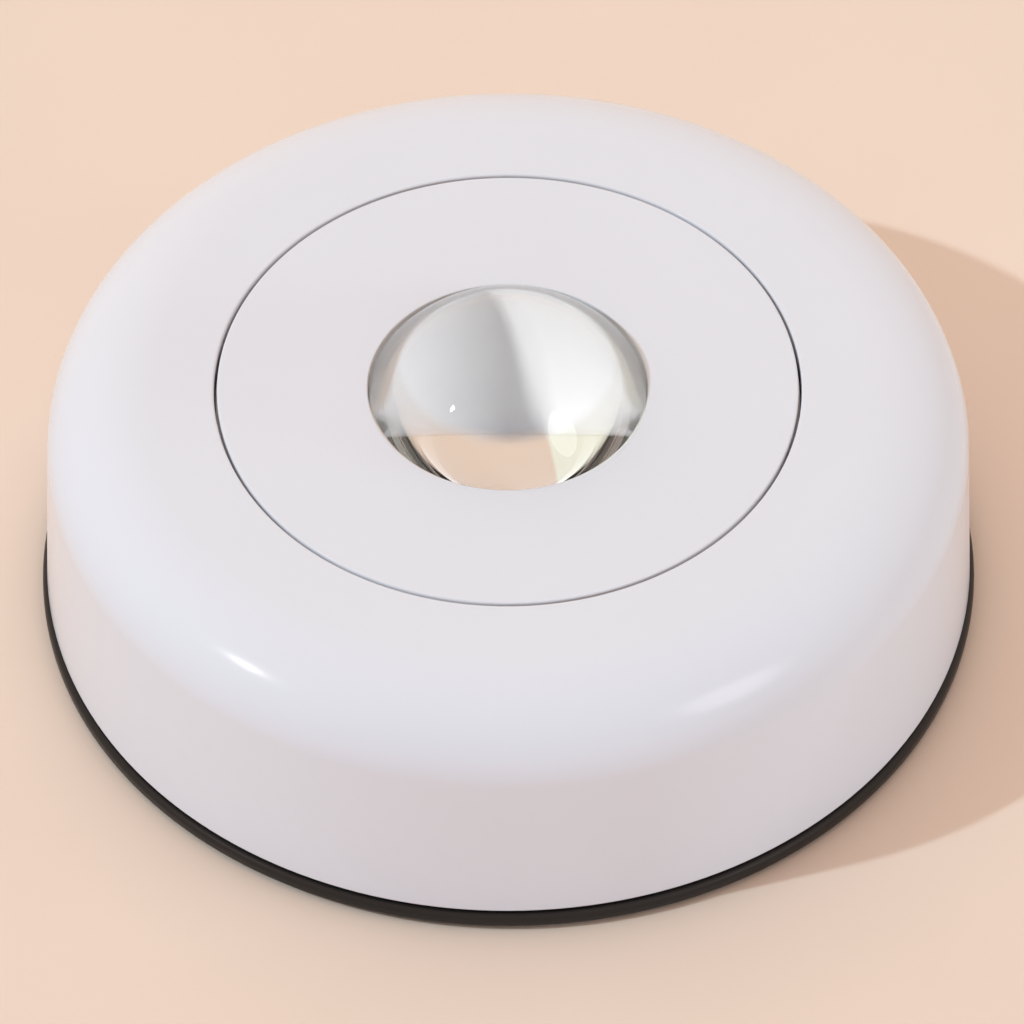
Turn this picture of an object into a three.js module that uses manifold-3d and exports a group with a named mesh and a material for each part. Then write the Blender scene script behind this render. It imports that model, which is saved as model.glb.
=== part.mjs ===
// A push light in the shape of a puck. A white housing stands over a black twist-off base, and a
// flush disc in its middle carries a clear domed lens and presses a switch. Behind the disc lie a
// round board, a battery bay for three slim cells, and the springs that lift the disc again.
// Lengths are in millimetres, +Z is up, and the origin is the centre of the underside.

import * as THREE from 'three';
import { mergeVertices } from 'three/addons/utils/BufferGeometryUtils.js';
import Module from 'manifold-3d';

const wasm = await Module();
wasm.setup();

// Overall form
const BODY_RADIUS = 40;
const BODY_TOP = 23.9;
const WALL = 1.8;
const SHOULDER_REACH = 9.1;
const SHOULDER_DROP = 6.8;
const WALL_DRAFT = 0.49;

// Clearances
const RUN_GAP = 0.3;
const SEAT_GAP = 0.3;
const SPRING_SEAT_GAP = 0.2;
const LENS_GAP = 0.2;
const SEAM_GAP = 0.4;
const TWIST_GAP = 0.25;
const OVERRUN = 1;
const EMBED = 0.6;

// Facets of round forms
const RING_SEGMENTS = 56;
const LENS_SEGMENTS = 40;
const SMALL_SEGMENTS = 16;
const FINE_SEGMENTS = 12;
const EDGE_STEPS = 2;
const SHOULDER_STEPS = 8;

// Foam pad and twist-off base
const PAD_RADIUS = 20;
const PAD_THICKNESS = 0.9;
const PAD_PROUD = 0.3;
const PAD_CLEARANCE = 0.5;
const PAD_EDGE = 0.15;
const BASE_FLOOR = 1.45;
const BASE_EDGE = 0.55;
const BASE_SCREW_CIRCLE = 27;
const BASE_SCREW_RADIUS = 2.1;
const BASE_SINK_RADIUS = 3.5;
const BASE_SINK_DEPTH = 1.1;
const RING_REVEAL = 0.4;

// Twist lock between base and housing
const LUG_COUNT = 3;
const LUG_FIRST_ANGLE = 30;
const LUG_HALF_ANGLE = 14;
const STOP_CLEAR_ANGLE = 0.8;
const STOP_ANGLE = 3;
const LUG_REACH = 1.6;
const LUG_THICKNESS = 1.6;
const LUG_WALL_GAP = 1.2;
const LEDGE_THICKNESS = 1.5;
const LEDGE_LIFT = 0.2;
const LEDGE_COLLAR_GAP = 0.4;
const COLLAR_WALL = 1.6;
const SECTOR_STEPS = 6;

// Housing details
const FOOT_EDGE = 0.3;
const SEAM_EDGE = 0.35;
const OPENING_LIP = 1.4;
const OPENING_LIP_DEPTH = 2.5;
const BOSS_RADIUS = 2.4;
const BOSS_PILOT_RADIUS = 1.3;
const BOSS_PILOT_DEPTH = 8;
const WEB_THICKNESS = 1.2;
const WEB_LIFT = 3.2;
const WEB_TOP_ANGLE = 80;
const SCREW_ANGLES = [35, 145, 215, 325];

// Press disc
const PRESS_TRAVEL = 1;
const DISC_BAND = 12.8;
const FLANGE_CLEARANCE = 0.6;
const FLANGE_REACH = 1.5;
const FLANGE_THICKNESS = 1.2;
const LENS_EDGE = 0.15;
const LENS_COLLAR_WALL = 1.4;
const LENS_COLLAR_DEPTH = 1.4;
const STEM_RADIUS = 1.6;
const SPRING_PIN_RADIUS = 1.3;
const SPRING_PIN_LENGTH = 1.6;

// Lens and the cone under it
const LENS_CURVE_RADIUS = 10.3;
const LENS_BALL_SHARE = 0.25;
const LENS_DOME_STEPS = 9;
const LENS_FLANGE_REACH = 1.45;
const LENS_FLANGE_THICKNESS = 1;
const LENS_RIM_DROP = 0.2;
const CONE_WALL = 0.6;
const CONE_RIM = 0.8;
const CONE_DROP = 1.7;
const CONE_MOUTH_RADIUS = 5;

// Cells
const CELL_RADIUS = 5.25;
const CELL_LENGTH = 44.5;
const CELL_NUB_RADIUS = 1.9;
const CELL_NUB_LENGTH = 0.9;
const CELL_CRIMP_DEPTH = 0.7;
const CELL_CRIMP_INSET = 1.3;
const CELL_EDGE = 0.35;
const CELL_SPACING = 11.4;
const CELL_FLOOR_GAP = 0.5;

// Back plate and battery bay
const PLATE_THICKNESS = 1.5;
const PLATE_LIFT = 0.3;
const PLATE_COLLAR_GAP = 0.6;
const BAY_WALL = 1.4;
const BAY_ROOF = 1.2;
const BAY_CORNER = 3;
const BAY_POCKET = 1;
const BAY_RIDGE_LIFT = 1.25;
const TROUGH_STEPS = 12;
const CUP_RADIUS = 3.6;
const CUP_HEIGHT = 3.5;
const CUP_BORE_RADIUS = 2.5;
const CUP_BORE_DEPTH = 2;
const CUP_HOLE_RADIUS = 1.3;
const CUP_EDGE = 0.2;
const GUSSET_THICKNESS = 1.2;
const GUSSET_HEIGHT = 3;
const GUSSET_PLACE = 9;
const STANDOFF_RADIUS = 2;
const STANDOFF_HEIGHT = 1;

// Contacts at the bay's ends
const CONTACT_THICKNESS = 0.4;
const CONTACT_WIDTH = 8.4;
const CONTACT_LIFT = 1;
const CONTACT_TOP_GAP = 0.8;
const DIMPLE_RADIUS = 2.2;
const DIMPLE_HEIGHT = 0.5;
const TAB_WIDTH = 2;
const TAB_RISE = 1.5;
const SLOT_CLEARANCE = 0.3;

// Springs, wound from round wire
const CELL_SPRING_SPACE = 3.4;
const CELL_SPRING_WIRE = 0.45;
const CELL_SPRING_WIDE = 3.1;
const CELL_SPRING_NARROW = 1.7;
const CELL_SPRING_TURNS = 2.5;
const RETURN_SPRING_WIRE = 0.5;
const RETURN_SPRING_RADIUS = 1.95;
const RETURN_SPRING_TURNS = 4.5;
const RETURN_SPRING_ROOM = 3;
const RETURN_SPRING_ANGLES = [45, 135, 225, 315];
const CURL_STEPS = 8;
const WIRE_SIDES = 5;

// Board and what it carries
const BOARD_THICKNESS = 1.2;
const BOARD_SKIRT_GAP = 1.2;
const BOARD_FLAT_CUT = 4.3;
const BOARD_NOTCH_RADIUS = 2.9;
const LED_WIDTH = 5;
const LED_HEIGHT = 0.9;
const PHOSPHOR_RADIUS = 1.9;
const PHOSPHOR_HEIGHT = 0.3;
const SWITCH_WIDTH = 6;
const SWITCH_HEIGHT = 2.2;
const SWITCH_FLOOR = 0.2;
const SWITCH_SKIRT_GAP = 1.5;
const PLUNGER_RADIUS = 1.5;
const PLUNGER_REST_GAP = 0.1;
const RESISTOR_LENGTH = 3.2;
const RESISTOR_WIDTH = 1.6;
const RESISTOR_HEIGHT = 0.6;
const RESISTOR_PLACE = [-16.5, 3.5];

// Screws
const BODY_SCREW_HEAD_RADIUS = 2.1;
const BODY_SCREW_HEAD_HEIGHT = 1.2;
const BODY_SCREW_SHANK_RADIUS = 1;
const BODY_SCREW_LENGTH = 8;
const BOARD_SCREW_HEAD_RADIUS = 1.8;
const BOARD_SCREW_HEAD_HEIGHT = 0.9;
const BOARD_SCREW_SHANK_RADIUS = 0.8;
const BOARD_SCREW_LENGTH = 2.6;
const BOARD_SCREW_HOLE_RADIUS = 1.1;
const SCREW_TIP = 0.4;
const SCREW_POINT_GAP = 0.3;
const SCREW_EDGE_GAP = 0.2;

// Wires from the bay's terminals to the board
const WIRE_RADIUS = 0.5;
const LEAD_SIDES = 8;
const LEAD_STEPS = 16;
const LEAD_RISE_X = 6.4;
const LEAD_ARCH = 1.3;
const LEAD_EDGE_GAP = 0.9;

// Heights worked out from the sizes above
const BASE_TOP = PAD_PROUD + BASE_FLOOR;
const HOUSING_FOOT = BASE_TOP + TWIST_GAP;
const SHOULDER_FOOT = BODY_TOP - SHOULDER_DROP;
const UNDERSIDE = BODY_TOP - WALL;
const LEDGE_BOTTOM = HOUSING_FOOT + LEDGE_LIFT;
const LUG_BOTTOM = LEDGE_BOTTOM + LEDGE_THICKNESS + RUN_GAP;
const LUG_TOP = LUG_BOTTOM + LUG_THICKNESS;
const PLATE_BOTTOM = HOUSING_FOOT + PLATE_LIFT;
const PLATE_TOP = PLATE_BOTTOM + PLATE_THICKNESS;
const CUP_TOP = PLATE_BOTTOM + CUP_HEIGHT;
const CUP_SEAT = PLATE_BOTTOM + CUP_BORE_DEPTH;
const CELL_BOTTOM = HOUSING_FOOT + CELL_FLOOR_GAP;
const CELL_AXIS = CELL_BOTTOM + CELL_RADIUS;
const TROUGH_RADIUS = CELL_RADIUS + SEAT_GAP;
const BAY_CEILING = CELL_AXIS + TROUGH_RADIUS;
const ROOF_TOP = BAY_CEILING + BAY_ROOF;
const BOARD_BOTTOM = ROOF_TOP + STANDOFF_HEIGHT;
const BOARD_TOP = BOARD_BOTTOM + BOARD_THICKNESS;
const LIP_BOTTOM = UNDERSIDE - OPENING_LIP_DEPTH;
const FLANGE_TOP = LIP_BOTTOM - RUN_GAP;
const FLANGE_BOTTOM = FLANGE_TOP - FLANGE_THICKNESS;
const LENS_BOTTOM = UNDERSIDE - LENS_FLANGE_THICKNESS;
const LENS_COLLAR_BOTTOM = UNDERSIDE - LENS_COLLAR_DEPTH;
const LENS_RIM = BODY_TOP - LENS_RIM_DROP;
const PLUNGER_BOTTOM = BOARD_TOP + SWITCH_FLOOR + PRESS_TRAVEL + PLUNGER_REST_GAP;
const SWITCH_TOP = BOARD_TOP + SWITCH_HEIGHT;
const PLUNGER_TOP = PLUNGER_BOTTOM + SWITCH_HEIGHT;
const STEM_BOTTOM = PLUNGER_TOP + RUN_GAP;

// Radii and places worked out from the sizes above, from the outside inwards
const HOUSING_FOOT_RADIUS = BODY_RADIUS - RING_REVEAL;
const HOUSING_WALL_RADIUS = HOUSING_FOOT_RADIUS - WALL_DRAFT;
const SHOULDER_TOP_RADIUS = HOUSING_WALL_RADIUS - SHOULDER_REACH;
const INNER_FOOT_RADIUS = HOUSING_FOOT_RADIUS - WALL;
const LUG_RADIUS = INNER_FOOT_RADIUS - LUG_WALL_GAP;
const COLLAR_RADIUS = LUG_RADIUS - LUG_REACH;
const COLLAR_BORE = COLLAR_RADIUS - COLLAR_WALL;
const LEDGE_RADIUS = COLLAR_RADIUS + LEDGE_COLLAR_GAP;
const PLATE_RADIUS = COLLAR_BORE - PLATE_COLLAR_GAP;
const SCREW_CIRCLE = PLATE_RADIUS - CUP_RADIUS - CUP_EDGE;
const FLANGE_RADIUS = SCREW_CIRCLE - BOSS_RADIUS - FLANGE_CLEARANCE;
const DISC_RADIUS = FLANGE_RADIUS - FLANGE_REACH;
const OPENING_RADIUS = DISC_RADIUS + SEAM_GAP;
const LIP_RADIUS = OPENING_RADIUS + OPENING_LIP;
const SKIRT_BORE = DISC_RADIUS - WALL;
const LENS_RADIUS = DISC_RADIUS - DISC_BAND;
const LENS_HOLE = LENS_RADIUS + LENS_GAP;
const LENS_FLANGE_RADIUS = LENS_RADIUS + LENS_FLANGE_REACH;
const LENS_COLLAR_BORE = LENS_FLANGE_RADIUS + SEAT_GAP;
const BOARD_RADIUS = SKIRT_BORE - BOARD_SKIRT_GAP;
const BOARD_FLAT = BOARD_RADIUS - BOARD_FLAT_CUT;
const BOARD_SCREW_PLACE = BOARD_FLAT - BOARD_SCREW_HEAD_RADIUS - SCREW_EDGE_GAP;
const SPRING_CIRCLE = SKIRT_BORE - RETURN_SPRING_ROOM;
const SWITCH_PLACE = SKIRT_BORE - SWITCH_SKIRT_GAP - SWITCH_WIDTH / 2;
const BAY_HALF_WIDTH = CELL_SPACING + TROUGH_RADIUS;
const BAY_HALF_LENGTH = (CELL_LENGTH + CELL_SPRING_SPACE + DIMPLE_HEIGHT + SEAT_GAP) / 2 + CONTACT_THICKNESS;
const CONTACT_FACE = BAY_HALF_LENGTH - CONTACT_THICKNESS;
const CONTACT_BOTTOM = PLATE_BOTTOM + CONTACT_LIFT;
const CONTACT_TOP = BAY_CEILING - CONTACT_TOP_GAP;
const TAB_TOP = ROOF_TOP + TAB_RISE;

// Materials
const white = new THREE.MeshStandardMaterial({ color: '#e4e2e4', roughness: 0.32, metalness: 0 });
const black = new THREE.MeshStandardMaterial({ color: '#252120', roughness: 0.45, metalness: 0 });
const foam = new THREE.MeshStandardMaterial({ color: '#dcdad4', roughness: 0.95, metalness: 0 });
const clear = new THREE.MeshStandardMaterial({ color: '#f2f4f5', roughness: 0.03, metalness: 0 });
const cone = new THREE.MeshStandardMaterial({ color: '#f0f0ee', roughness: 0.25, metalness: 0 });
const laminate = new THREE.MeshStandardMaterial({ color: '#e9ebe6', roughness: 0.5, metalness: 0 });
const ceramic = new THREE.MeshStandardMaterial({ color: '#f4f1e8', roughness: 0.5, metalness: 0 });
const phosphor = new THREE.MeshStandardMaterial({ color: '#e6c83c', roughness: 0.45, metalness: 0 });
const darkPlastic = new THREE.MeshStandardMaterial({ color: '#1b1b1d', roughness: 0.5, metalness: 0 });
const redPlastic = new THREE.MeshStandardMaterial({ color: '#a8201c', roughness: 0.45, metalness: 0 });
const steel = new THREE.MeshStandardMaterial({ color: '#b9bcc0', roughness: 0.3, metalness: 1 });
const nickel = new THREE.MeshStandardMaterial({ color: '#c8c6bf', roughness: 0.25, metalness: 1 });
const sleeve = new THREE.MeshStandardMaterial({ color: '#2f5d8a', roughness: 0.4, metalness: 0.2 });
const blackLead = new THREE.MeshStandardMaterial({ color: '#1c1c1e', roughness: 0.5, metalness: 0 });
const redLead = new THREE.MeshStandardMaterial({ color: '#b3221d', roughness: 0.5, metalness: 0 });

const radians = THREE.MathUtils.degToRad;

// A closed geometry becomes a solid with merged corners, no empty triangles, and faces pointing out.
function toSolid(geometry) {
  const plain = geometry.clone();
  plain.deleteAttribute('normal');
  plain.deleteAttribute('uv');
  const merged = mergeVertices(plain);
  const points = merged.getAttribute('position').array;
  const corners = merged.index.array;
  const kept = [];
  let volume = 0;
  for (let i = 0; i < corners.length; i += 3) {
    const [a, b, c] = [corners[i], corners[i + 1], corners[i + 2]];
    if (a === b || b === c || c === a) {
      continue;
    }
    kept.push(a, b, c);
    const va = new THREE.Vector3().fromArray(points, 3 * a);
    const vb = new THREE.Vector3().fromArray(points, 3 * b);
    const vc = new THREE.Vector3().fromArray(points, 3 * c);
    volume += va.dot(vb.cross(vc));
  }
  if (volume < 0) {
    kept.reverse();
  }
  const mesh = new wasm.Mesh({
    numProp: 3,
    vertProperties: new Float32Array(points),
    triVerts: new Uint32Array(kept),
  });
  return new wasm.Manifold(mesh);
}

function toGeometry(solid) {
  const mesh = solid.getMesh();
  const geometry = new THREE.BufferGeometry();
  geometry.setAttribute('position', new THREE.BufferAttribute(new Float32Array(mesh.vertProperties), 3));
  geometry.setIndex(new THREE.BufferAttribute(new Uint32Array(mesh.triVerts), 1));
  geometry.computeVertexNormals();
  return geometry;
}

function join(first, ...others) {
  return others.reduce((whole, piece) => whole.add(piece), first);
}

function cut(first, ...others) {
  return others.reduce((whole, piece) => whole.subtract(piece), first);
}

// An outline of [radius, height] points turned about the Z axis.
function revolve(outline, segments) {
  const points = outline.map(([radius, height]) => new THREE.Vector2(radius, height));
  const onAxis = outline[0][0] === 0 && outline[outline.length - 1][0] === 0;
  if (!onAxis) {
    points.push(points[0].clone());
  }
  return toSolid(new THREE.LatheGeometry(points, segments).rotateX(Math.PI / 2));
}

// Points on a quarter or other stretch of an ellipse, for the round edges of an outline.
function arc(centre, reach, from, to, steps) {
  const points = [];
  for (let i = 0; i <= steps; i += 1) {
    const angle = radians(from + ((to - from) * i) / steps);
    points.push([centre[0] + reach[0] * Math.cos(angle), centre[1] + reach[1] * Math.sin(angle)]);
  }
  return points;
}

function post(radius, bottom, top, place, segments) {
  const geometry = new THREE.CylinderGeometry(radius, radius, top - bottom, segments);
  geometry.rotateX(Math.PI / 2);
  geometry.translate(place[0], place[1], (bottom + top) / 2);
  return toSolid(geometry);
}

function block(low, high) {
  const geometry = new THREE.BoxGeometry(high[0] - low[0], high[1] - low[1], high[2] - low[2]);
  geometry.translate((low[0] + high[0]) / 2, (low[1] + high[1]) / 2, (low[2] + high[2]) / 2);
  return toSolid(geometry);
}

function prism(shape, bottom, top, steps) {
  const geometry = new THREE.ExtrudeGeometry(shape, {
    depth: top - bottom,
    bevelEnabled: false,
    curveSegments: steps,
  });
  geometry.translate(0, 0, bottom);
  return toSolid(geometry);
}

// A stretch of a ring between two radii, two heights and two angles.
function sector(inner, outer, bottom, top, from, to) {
  const shape = new THREE.Shape();
  shape.absarc(0, 0, outer, radians(from), radians(to), false);
  shape.absarc(0, 0, inner, radians(to), radians(from), true);
  return prism(shape, bottom, top, SECTOR_STEPS);
}

function onCircle(radius, angle) {
  return [radius * Math.cos(radians(angle)), radius * Math.sin(radians(angle))];
}

function polygonShape(radius, sides) {
  const points = [];
  for (let i = 0; i < sides; i += 1) {
    points.push(new THREE.Vector2(...onCircle(radius, (360 * i) / sides)));
  }
  return new THREE.Shape(points);
}

function tube(curve, radius, sides, steps) {
  const geometry = new THREE.ExtrudeGeometry(polygonShape(radius, sides), {
    steps,
    bevelEnabled: false,
    extrudePath: curve,
  });
  return toSolid(geometry);
}

// The middle line of a coil spring that stands on the XY plane and narrows from one radius to another.
class Coil extends THREE.Curve {
  constructor(startRadius, endRadius, height, turns) {
    super();
    Object.assign(this, { startRadius, endRadius, height, turns });
  }

  getPoint(share, target = new THREE.Vector3()) {
    const angle = 2 * Math.PI * this.turns * share;
    const radius = this.startRadius + (this.endRadius - this.startRadius) * share;
    return target.set(radius * Math.cos(angle), radius * Math.sin(angle), this.height * share);
  }
}

// The least gap between one turn of a coil's wire and the next, measured on points of its middle line.
function leastGap(coil, wire) {
  const perTurn = 24;
  const count = Math.round(coil.turns * perTurn);
  const points = coil.getPoints(count);
  let least = Infinity;
  for (let i = 0; i < points.length; i += 1) {
    for (let k = i + perTurn / 2; k < points.length; k += 1) {
      least = Math.min(least, points[i].distanceTo(points[k]));
    }
  }
  return least - wire;
}

function spring(label, startRadius, endRadius, length, turns, wire) {
  const coil = new Coil(startRadius, endRadius, length - wire, turns);
  console.log(`${label}: least gap between turns ${leastGap(coil, wire).toFixed(2)} mm`);
  return tube(coil, wire / 2, WIRE_SIDES, Math.round(turns * CURL_STEPS)).translate(0, 0, wire / 2);
}

// A soft pad with softened edges, sunk in the base's underside and standing a little proud of it.
function adhesivePad() {
  const outline = [
    [0, 0],
    [PAD_RADIUS - PAD_EDGE, 0],
    [PAD_RADIUS, PAD_EDGE],
    [PAD_RADIUS, PAD_THICKNESS],
    [0, PAD_THICKNESS],
  ];
  return revolve(outline, LENS_SEGMENTS);
}

function baseScrewHole(side) {
  const sinkFoot = BASE_TOP - BASE_SINK_DEPTH;
  const outline = [
    [0, -OVERRUN],
    [BASE_SCREW_RADIUS, -OVERRUN],
    [BASE_SCREW_RADIUS, sinkFoot],
    [BASE_SINK_RADIUS, BASE_TOP],
    [BASE_SINK_RADIUS, BASE_TOP + OVERRUN],
    [0, BASE_TOP + OVERRUN],
  ];
  return revolve(outline, SMALL_SEGMENTS).translate(side * BASE_SCREW_CIRCLE, 0, 0);
}

// One lug of the twist lock, with the rib at its clockwise end that the housing's ledge stops on.
function baseLug(angle) {
  const start = angle - LUG_HALF_ANGLE - STOP_CLEAR_ANGLE;
  const root = COLLAR_RADIUS - EMBED;
  const lug = sector(root, LUG_RADIUS, LUG_BOTTOM, LUG_TOP, start - STOP_ANGLE, angle + LUG_HALF_ANGLE);
  const stop = sector(root, LUG_RADIUS, BASE_TOP - EMBED, LUG_TOP, start - STOP_ANGLE, start);
  return lug.add(stop);
}

function mountingBase() {
  const edgeMiddle = BODY_RADIUS - BASE_EDGE;
  const outline = [
    [0, PAD_PROUD],
    ...arc([edgeMiddle, PAD_PROUD + BASE_EDGE], [BASE_EDGE, BASE_EDGE], -90, 0, EDGE_STEPS),
    ...arc([edgeMiddle, BASE_TOP - BASE_EDGE], [BASE_EDGE, BASE_EDGE], 0, 90, EDGE_STEPS),
    [COLLAR_RADIUS, BASE_TOP],
    [COLLAR_RADIUS, LUG_TOP],
    [COLLAR_BORE, LUG_TOP],
    [COLLAR_BORE, BASE_TOP],
    [0, BASE_TOP],
  ];
  const lugs = [];
  for (let i = 0; i < LUG_COUNT; i += 1) {
    lugs.push(baseLug(LUG_FIRST_ANGLE + (360 * i) / LUG_COUNT));
  }
  const recess = post(PAD_RADIUS + PAD_CLEARANCE, -OVERRUN, PAD_THICKNESS, [0, 0], LENS_SEGMENTS);
  const body = join(revolve(outline, RING_SEGMENTS), ...lugs);
  return cut(body, recess, baseScrewHole(1), baseScrewHole(-1));
}

function housingShell() {
  const shoulderMiddle = [SHOULDER_TOP_RADIUS, SHOULDER_FOOT];
  const innerReach = [SHOULDER_REACH - WALL, SHOULDER_DROP - WALL];
  const seamMiddle = [OPENING_RADIUS + SEAM_EDGE, BODY_TOP - SEAM_EDGE];
  const outline = [
    [INNER_FOOT_RADIUS, HOUSING_FOOT],
    [HOUSING_FOOT_RADIUS - FOOT_EDGE, HOUSING_FOOT],
    [HOUSING_FOOT_RADIUS, HOUSING_FOOT + FOOT_EDGE],
    ...arc(shoulderMiddle, [SHOULDER_REACH, SHOULDER_DROP], 0, 90, SHOULDER_STEPS),
    ...arc(seamMiddle, [SEAM_EDGE, SEAM_EDGE], 90, 180, EDGE_STEPS),
    [OPENING_RADIUS, LIP_BOTTOM],
    [LIP_RADIUS, LIP_BOTTOM],
    [LIP_RADIUS, UNDERSIDE],
    ...arc(shoulderMiddle, innerReach, 90, 0, SHOULDER_STEPS / 2),
  ];
  return revolve(outline, RING_SEGMENTS);
}

// A web that ties a screw boss to the outer wall, with its far edge along the middle of the wall.
function bossWeb() {
  const middleReach = [SHOULDER_REACH - WALL / 2, SHOULDER_DROP - WALL / 2];
  const foot = CUP_TOP + WEB_LIFT;
  const rim = arc([SHOULDER_TOP_RADIUS, SHOULDER_FOOT], middleReach, 0, WEB_TOP_ANGLE, SHOULDER_STEPS / 2);
  const outline = [[SCREW_CIRCLE + BOSS_RADIUS / 2, foot], [rim[0][0], foot], ...rim];
  outline.push([SCREW_CIRCLE + BOSS_RADIUS / 2, UNDERSIDE]);
  const shape = new THREE.Shape(outline.map(([radius, height]) => new THREE.Vector2(radius, height)));
  const web = prism(shape, -WEB_THICKNESS / 2, WEB_THICKNESS / 2, 1);
  return web.rotate(90, 0, 0);
}

function housing() {
  const additions = [];
  const holes = [];
  for (const angle of SCREW_ANGLES) {
    const place = onCircle(SCREW_CIRCLE, angle);
    additions.push(post(BOSS_RADIUS, CUP_TOP, UNDERSIDE + EMBED, place, SMALL_SEGMENTS));
    additions.push(bossWeb().rotate(0, 0, angle));
    const pilotTop = CUP_TOP + BOSS_PILOT_DEPTH;
    holes.push(post(BOSS_PILOT_RADIUS, CUP_TOP - OVERRUN, pilotTop, place, FINE_SEGMENTS));
  }
  for (let i = 0; i < LUG_COUNT; i += 1) {
    const angle = LUG_FIRST_ANGLE + (360 * i) / LUG_COUNT;
    const top = LEDGE_BOTTOM + LEDGE_THICKNESS;
    const outer = INNER_FOOT_RADIUS + EMBED;
    const [from, to] = [angle - LUG_HALF_ANGLE, angle + LUG_HALF_ANGLE];
    additions.push(sector(LEDGE_RADIUS, outer, LEDGE_BOTTOM, top, from, to));
  }
  return cut(join(housingShell(), ...additions), ...holes);
}

function pressDisc() {
  const rimMiddle = [DISC_RADIUS - SEAM_EDGE, BODY_TOP - SEAM_EDGE];
  const outline = [
    [LENS_HOLE, UNDERSIDE],
    [LENS_HOLE, BODY_TOP - LENS_EDGE],
    [LENS_HOLE + LENS_EDGE, BODY_TOP],
    ...arc(rimMiddle, [SEAM_EDGE, SEAM_EDGE], 90, 0, EDGE_STEPS),
    [DISC_RADIUS, FLANGE_TOP],
    [FLANGE_RADIUS, FLANGE_TOP],
    [FLANGE_RADIUS, FLANGE_BOTTOM],
    [SKIRT_BORE, FLANGE_BOTTOM],
    [SKIRT_BORE, UNDERSIDE],
    [LENS_COLLAR_BORE + LENS_COLLAR_WALL, UNDERSIDE],
    [LENS_COLLAR_BORE + LENS_COLLAR_WALL, LENS_COLLAR_BOTTOM],
    [LENS_COLLAR_BORE, LENS_COLLAR_BOTTOM],
    [LENS_COLLAR_BORE, UNDERSIDE],
  ];
  const additions = [post(STEM_RADIUS, STEM_BOTTOM, UNDERSIDE + EMBED, [SWITCH_PLACE, 0], FINE_SEGMENTS)];
  for (const angle of RETURN_SPRING_ANGLES) {
    const place = onCircle(SPRING_CIRCLE, angle);
    const foot = UNDERSIDE - SPRING_PIN_LENGTH;
    additions.push(post(SPRING_PIN_RADIUS, foot, UNDERSIDE + EMBED, place, FINE_SEGMENTS));
  }
  return join(revolve(outline, RING_SEGMENTS), ...additions);
}

// How far the lens's surface lies below its crown at a radius. The curve is flatter than a ball's
// towards the rim: a ball share of 1 is a ball, and of 0 a paraboloid.
function lensSag(radius) {
  const slope = radius / LENS_CURVE_RADIUS;
  return (radius * slope) / (1 + Math.sqrt(1 - LENS_BALL_SHARE * slope ** 2));
}

// A flat-backed lens: a tall dome over a flange that sits under the disc.
function lens() {
  const crown = LENS_RIM + lensSag(LENS_RADIUS);
  const outline = [
    [0, LENS_BOTTOM],
    [LENS_FLANGE_RADIUS, LENS_BOTTOM],
    [LENS_FLANGE_RADIUS, UNDERSIDE],
    [LENS_RADIUS, UNDERSIDE],
  ];
  for (let i = 0; i <= LENS_DOME_STEPS; i += 1) {
    const radius = LENS_RADIUS * (1 - i / LENS_DOME_STEPS);
    outline.push([radius, crown - lensSag(radius)]);
  }
  return revolve(outline, LENS_SEGMENTS);
}

function reflectorRing() {
  const bowlRadius = LENS_FLANGE_RADIUS - CONE_RIM;
  const outline = [
    [LENS_FLANGE_RADIUS, LENS_BOTTOM],
    [bowlRadius, LENS_BOTTOM],
    [CONE_MOUTH_RADIUS, LENS_BOTTOM - CONE_DROP],
    [CONE_MOUTH_RADIUS, LENS_BOTTOM - CONE_DROP - CONE_WALL],
    [bowlRadius, LENS_BOTTOM - CONE_WALL],
    [LENS_FLANGE_RADIUS, LENS_BOTTOM - CONE_WALL],
  ];
  return revolve(outline, LENS_SEGMENTS);
}

// The space for one cell: a round trough above, open below.
function trough(place) {
  const shape = new THREE.Shape();
  shape.moveTo(place - TROUGH_RADIUS, PLATE_BOTTOM - OVERRUN);
  shape.lineTo(place + TROUGH_RADIUS, PLATE_BOTTOM - OVERRUN);
  shape.absarc(place, CELL_AXIS, TROUGH_RADIUS, 0, Math.PI, false);
  const half = BAY_HALF_LENGTH - BAY_POCKET;
  return prism(shape, -half, half, TROUGH_STEPS).rotate(90, 0, 0);
}

function bayCavity() {
  const end = BAY_HALF_LENGTH;
  const pocket = end - BAY_POCKET;
  const foot = PLATE_BOTTOM - OVERRUN;
  const ridge = CELL_AXIS + BAY_RIDGE_LIFT;
  const spaces = [-CELL_SPACING, 0, CELL_SPACING].map(trough);
  spaces.push(block([-BAY_HALF_WIDTH, -end, foot], [BAY_HALF_WIDTH, end, ridge]));
  for (const [from, to] of [[-end, -pocket + EMBED], [pocket - EMBED, end]]) {
    const half = CELL_SPACING + CONTACT_WIDTH / 2 + SEAT_GAP;
    spaces.push(block([-half, from, foot], [half, to, BAY_CEILING]));
  }
  return join(...spaces);
}

function bayBlock() {
  const halfX = BAY_HALF_WIDTH + BAY_WALL;
  const halfY = BAY_HALF_LENGTH + BAY_WALL;
  const shape = new THREE.Shape();
  const [midX, midY] = [halfX - BAY_CORNER, halfY - BAY_CORNER];
  shape.absarc(midX, midY, BAY_CORNER, 0, Math.PI / 2, false);
  shape.absarc(-midX, midY, BAY_CORNER, Math.PI / 2, Math.PI, false);
  shape.absarc(-midX, -midY, BAY_CORNER, Math.PI, 1.5 * Math.PI, false);
  shape.absarc(midX, -midY, BAY_CORNER, 1.5 * Math.PI, 2 * Math.PI, false);
  return prism(shape, PLATE_BOTTOM, ROOF_TOP, EDGE_STEPS + 1);
}

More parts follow.
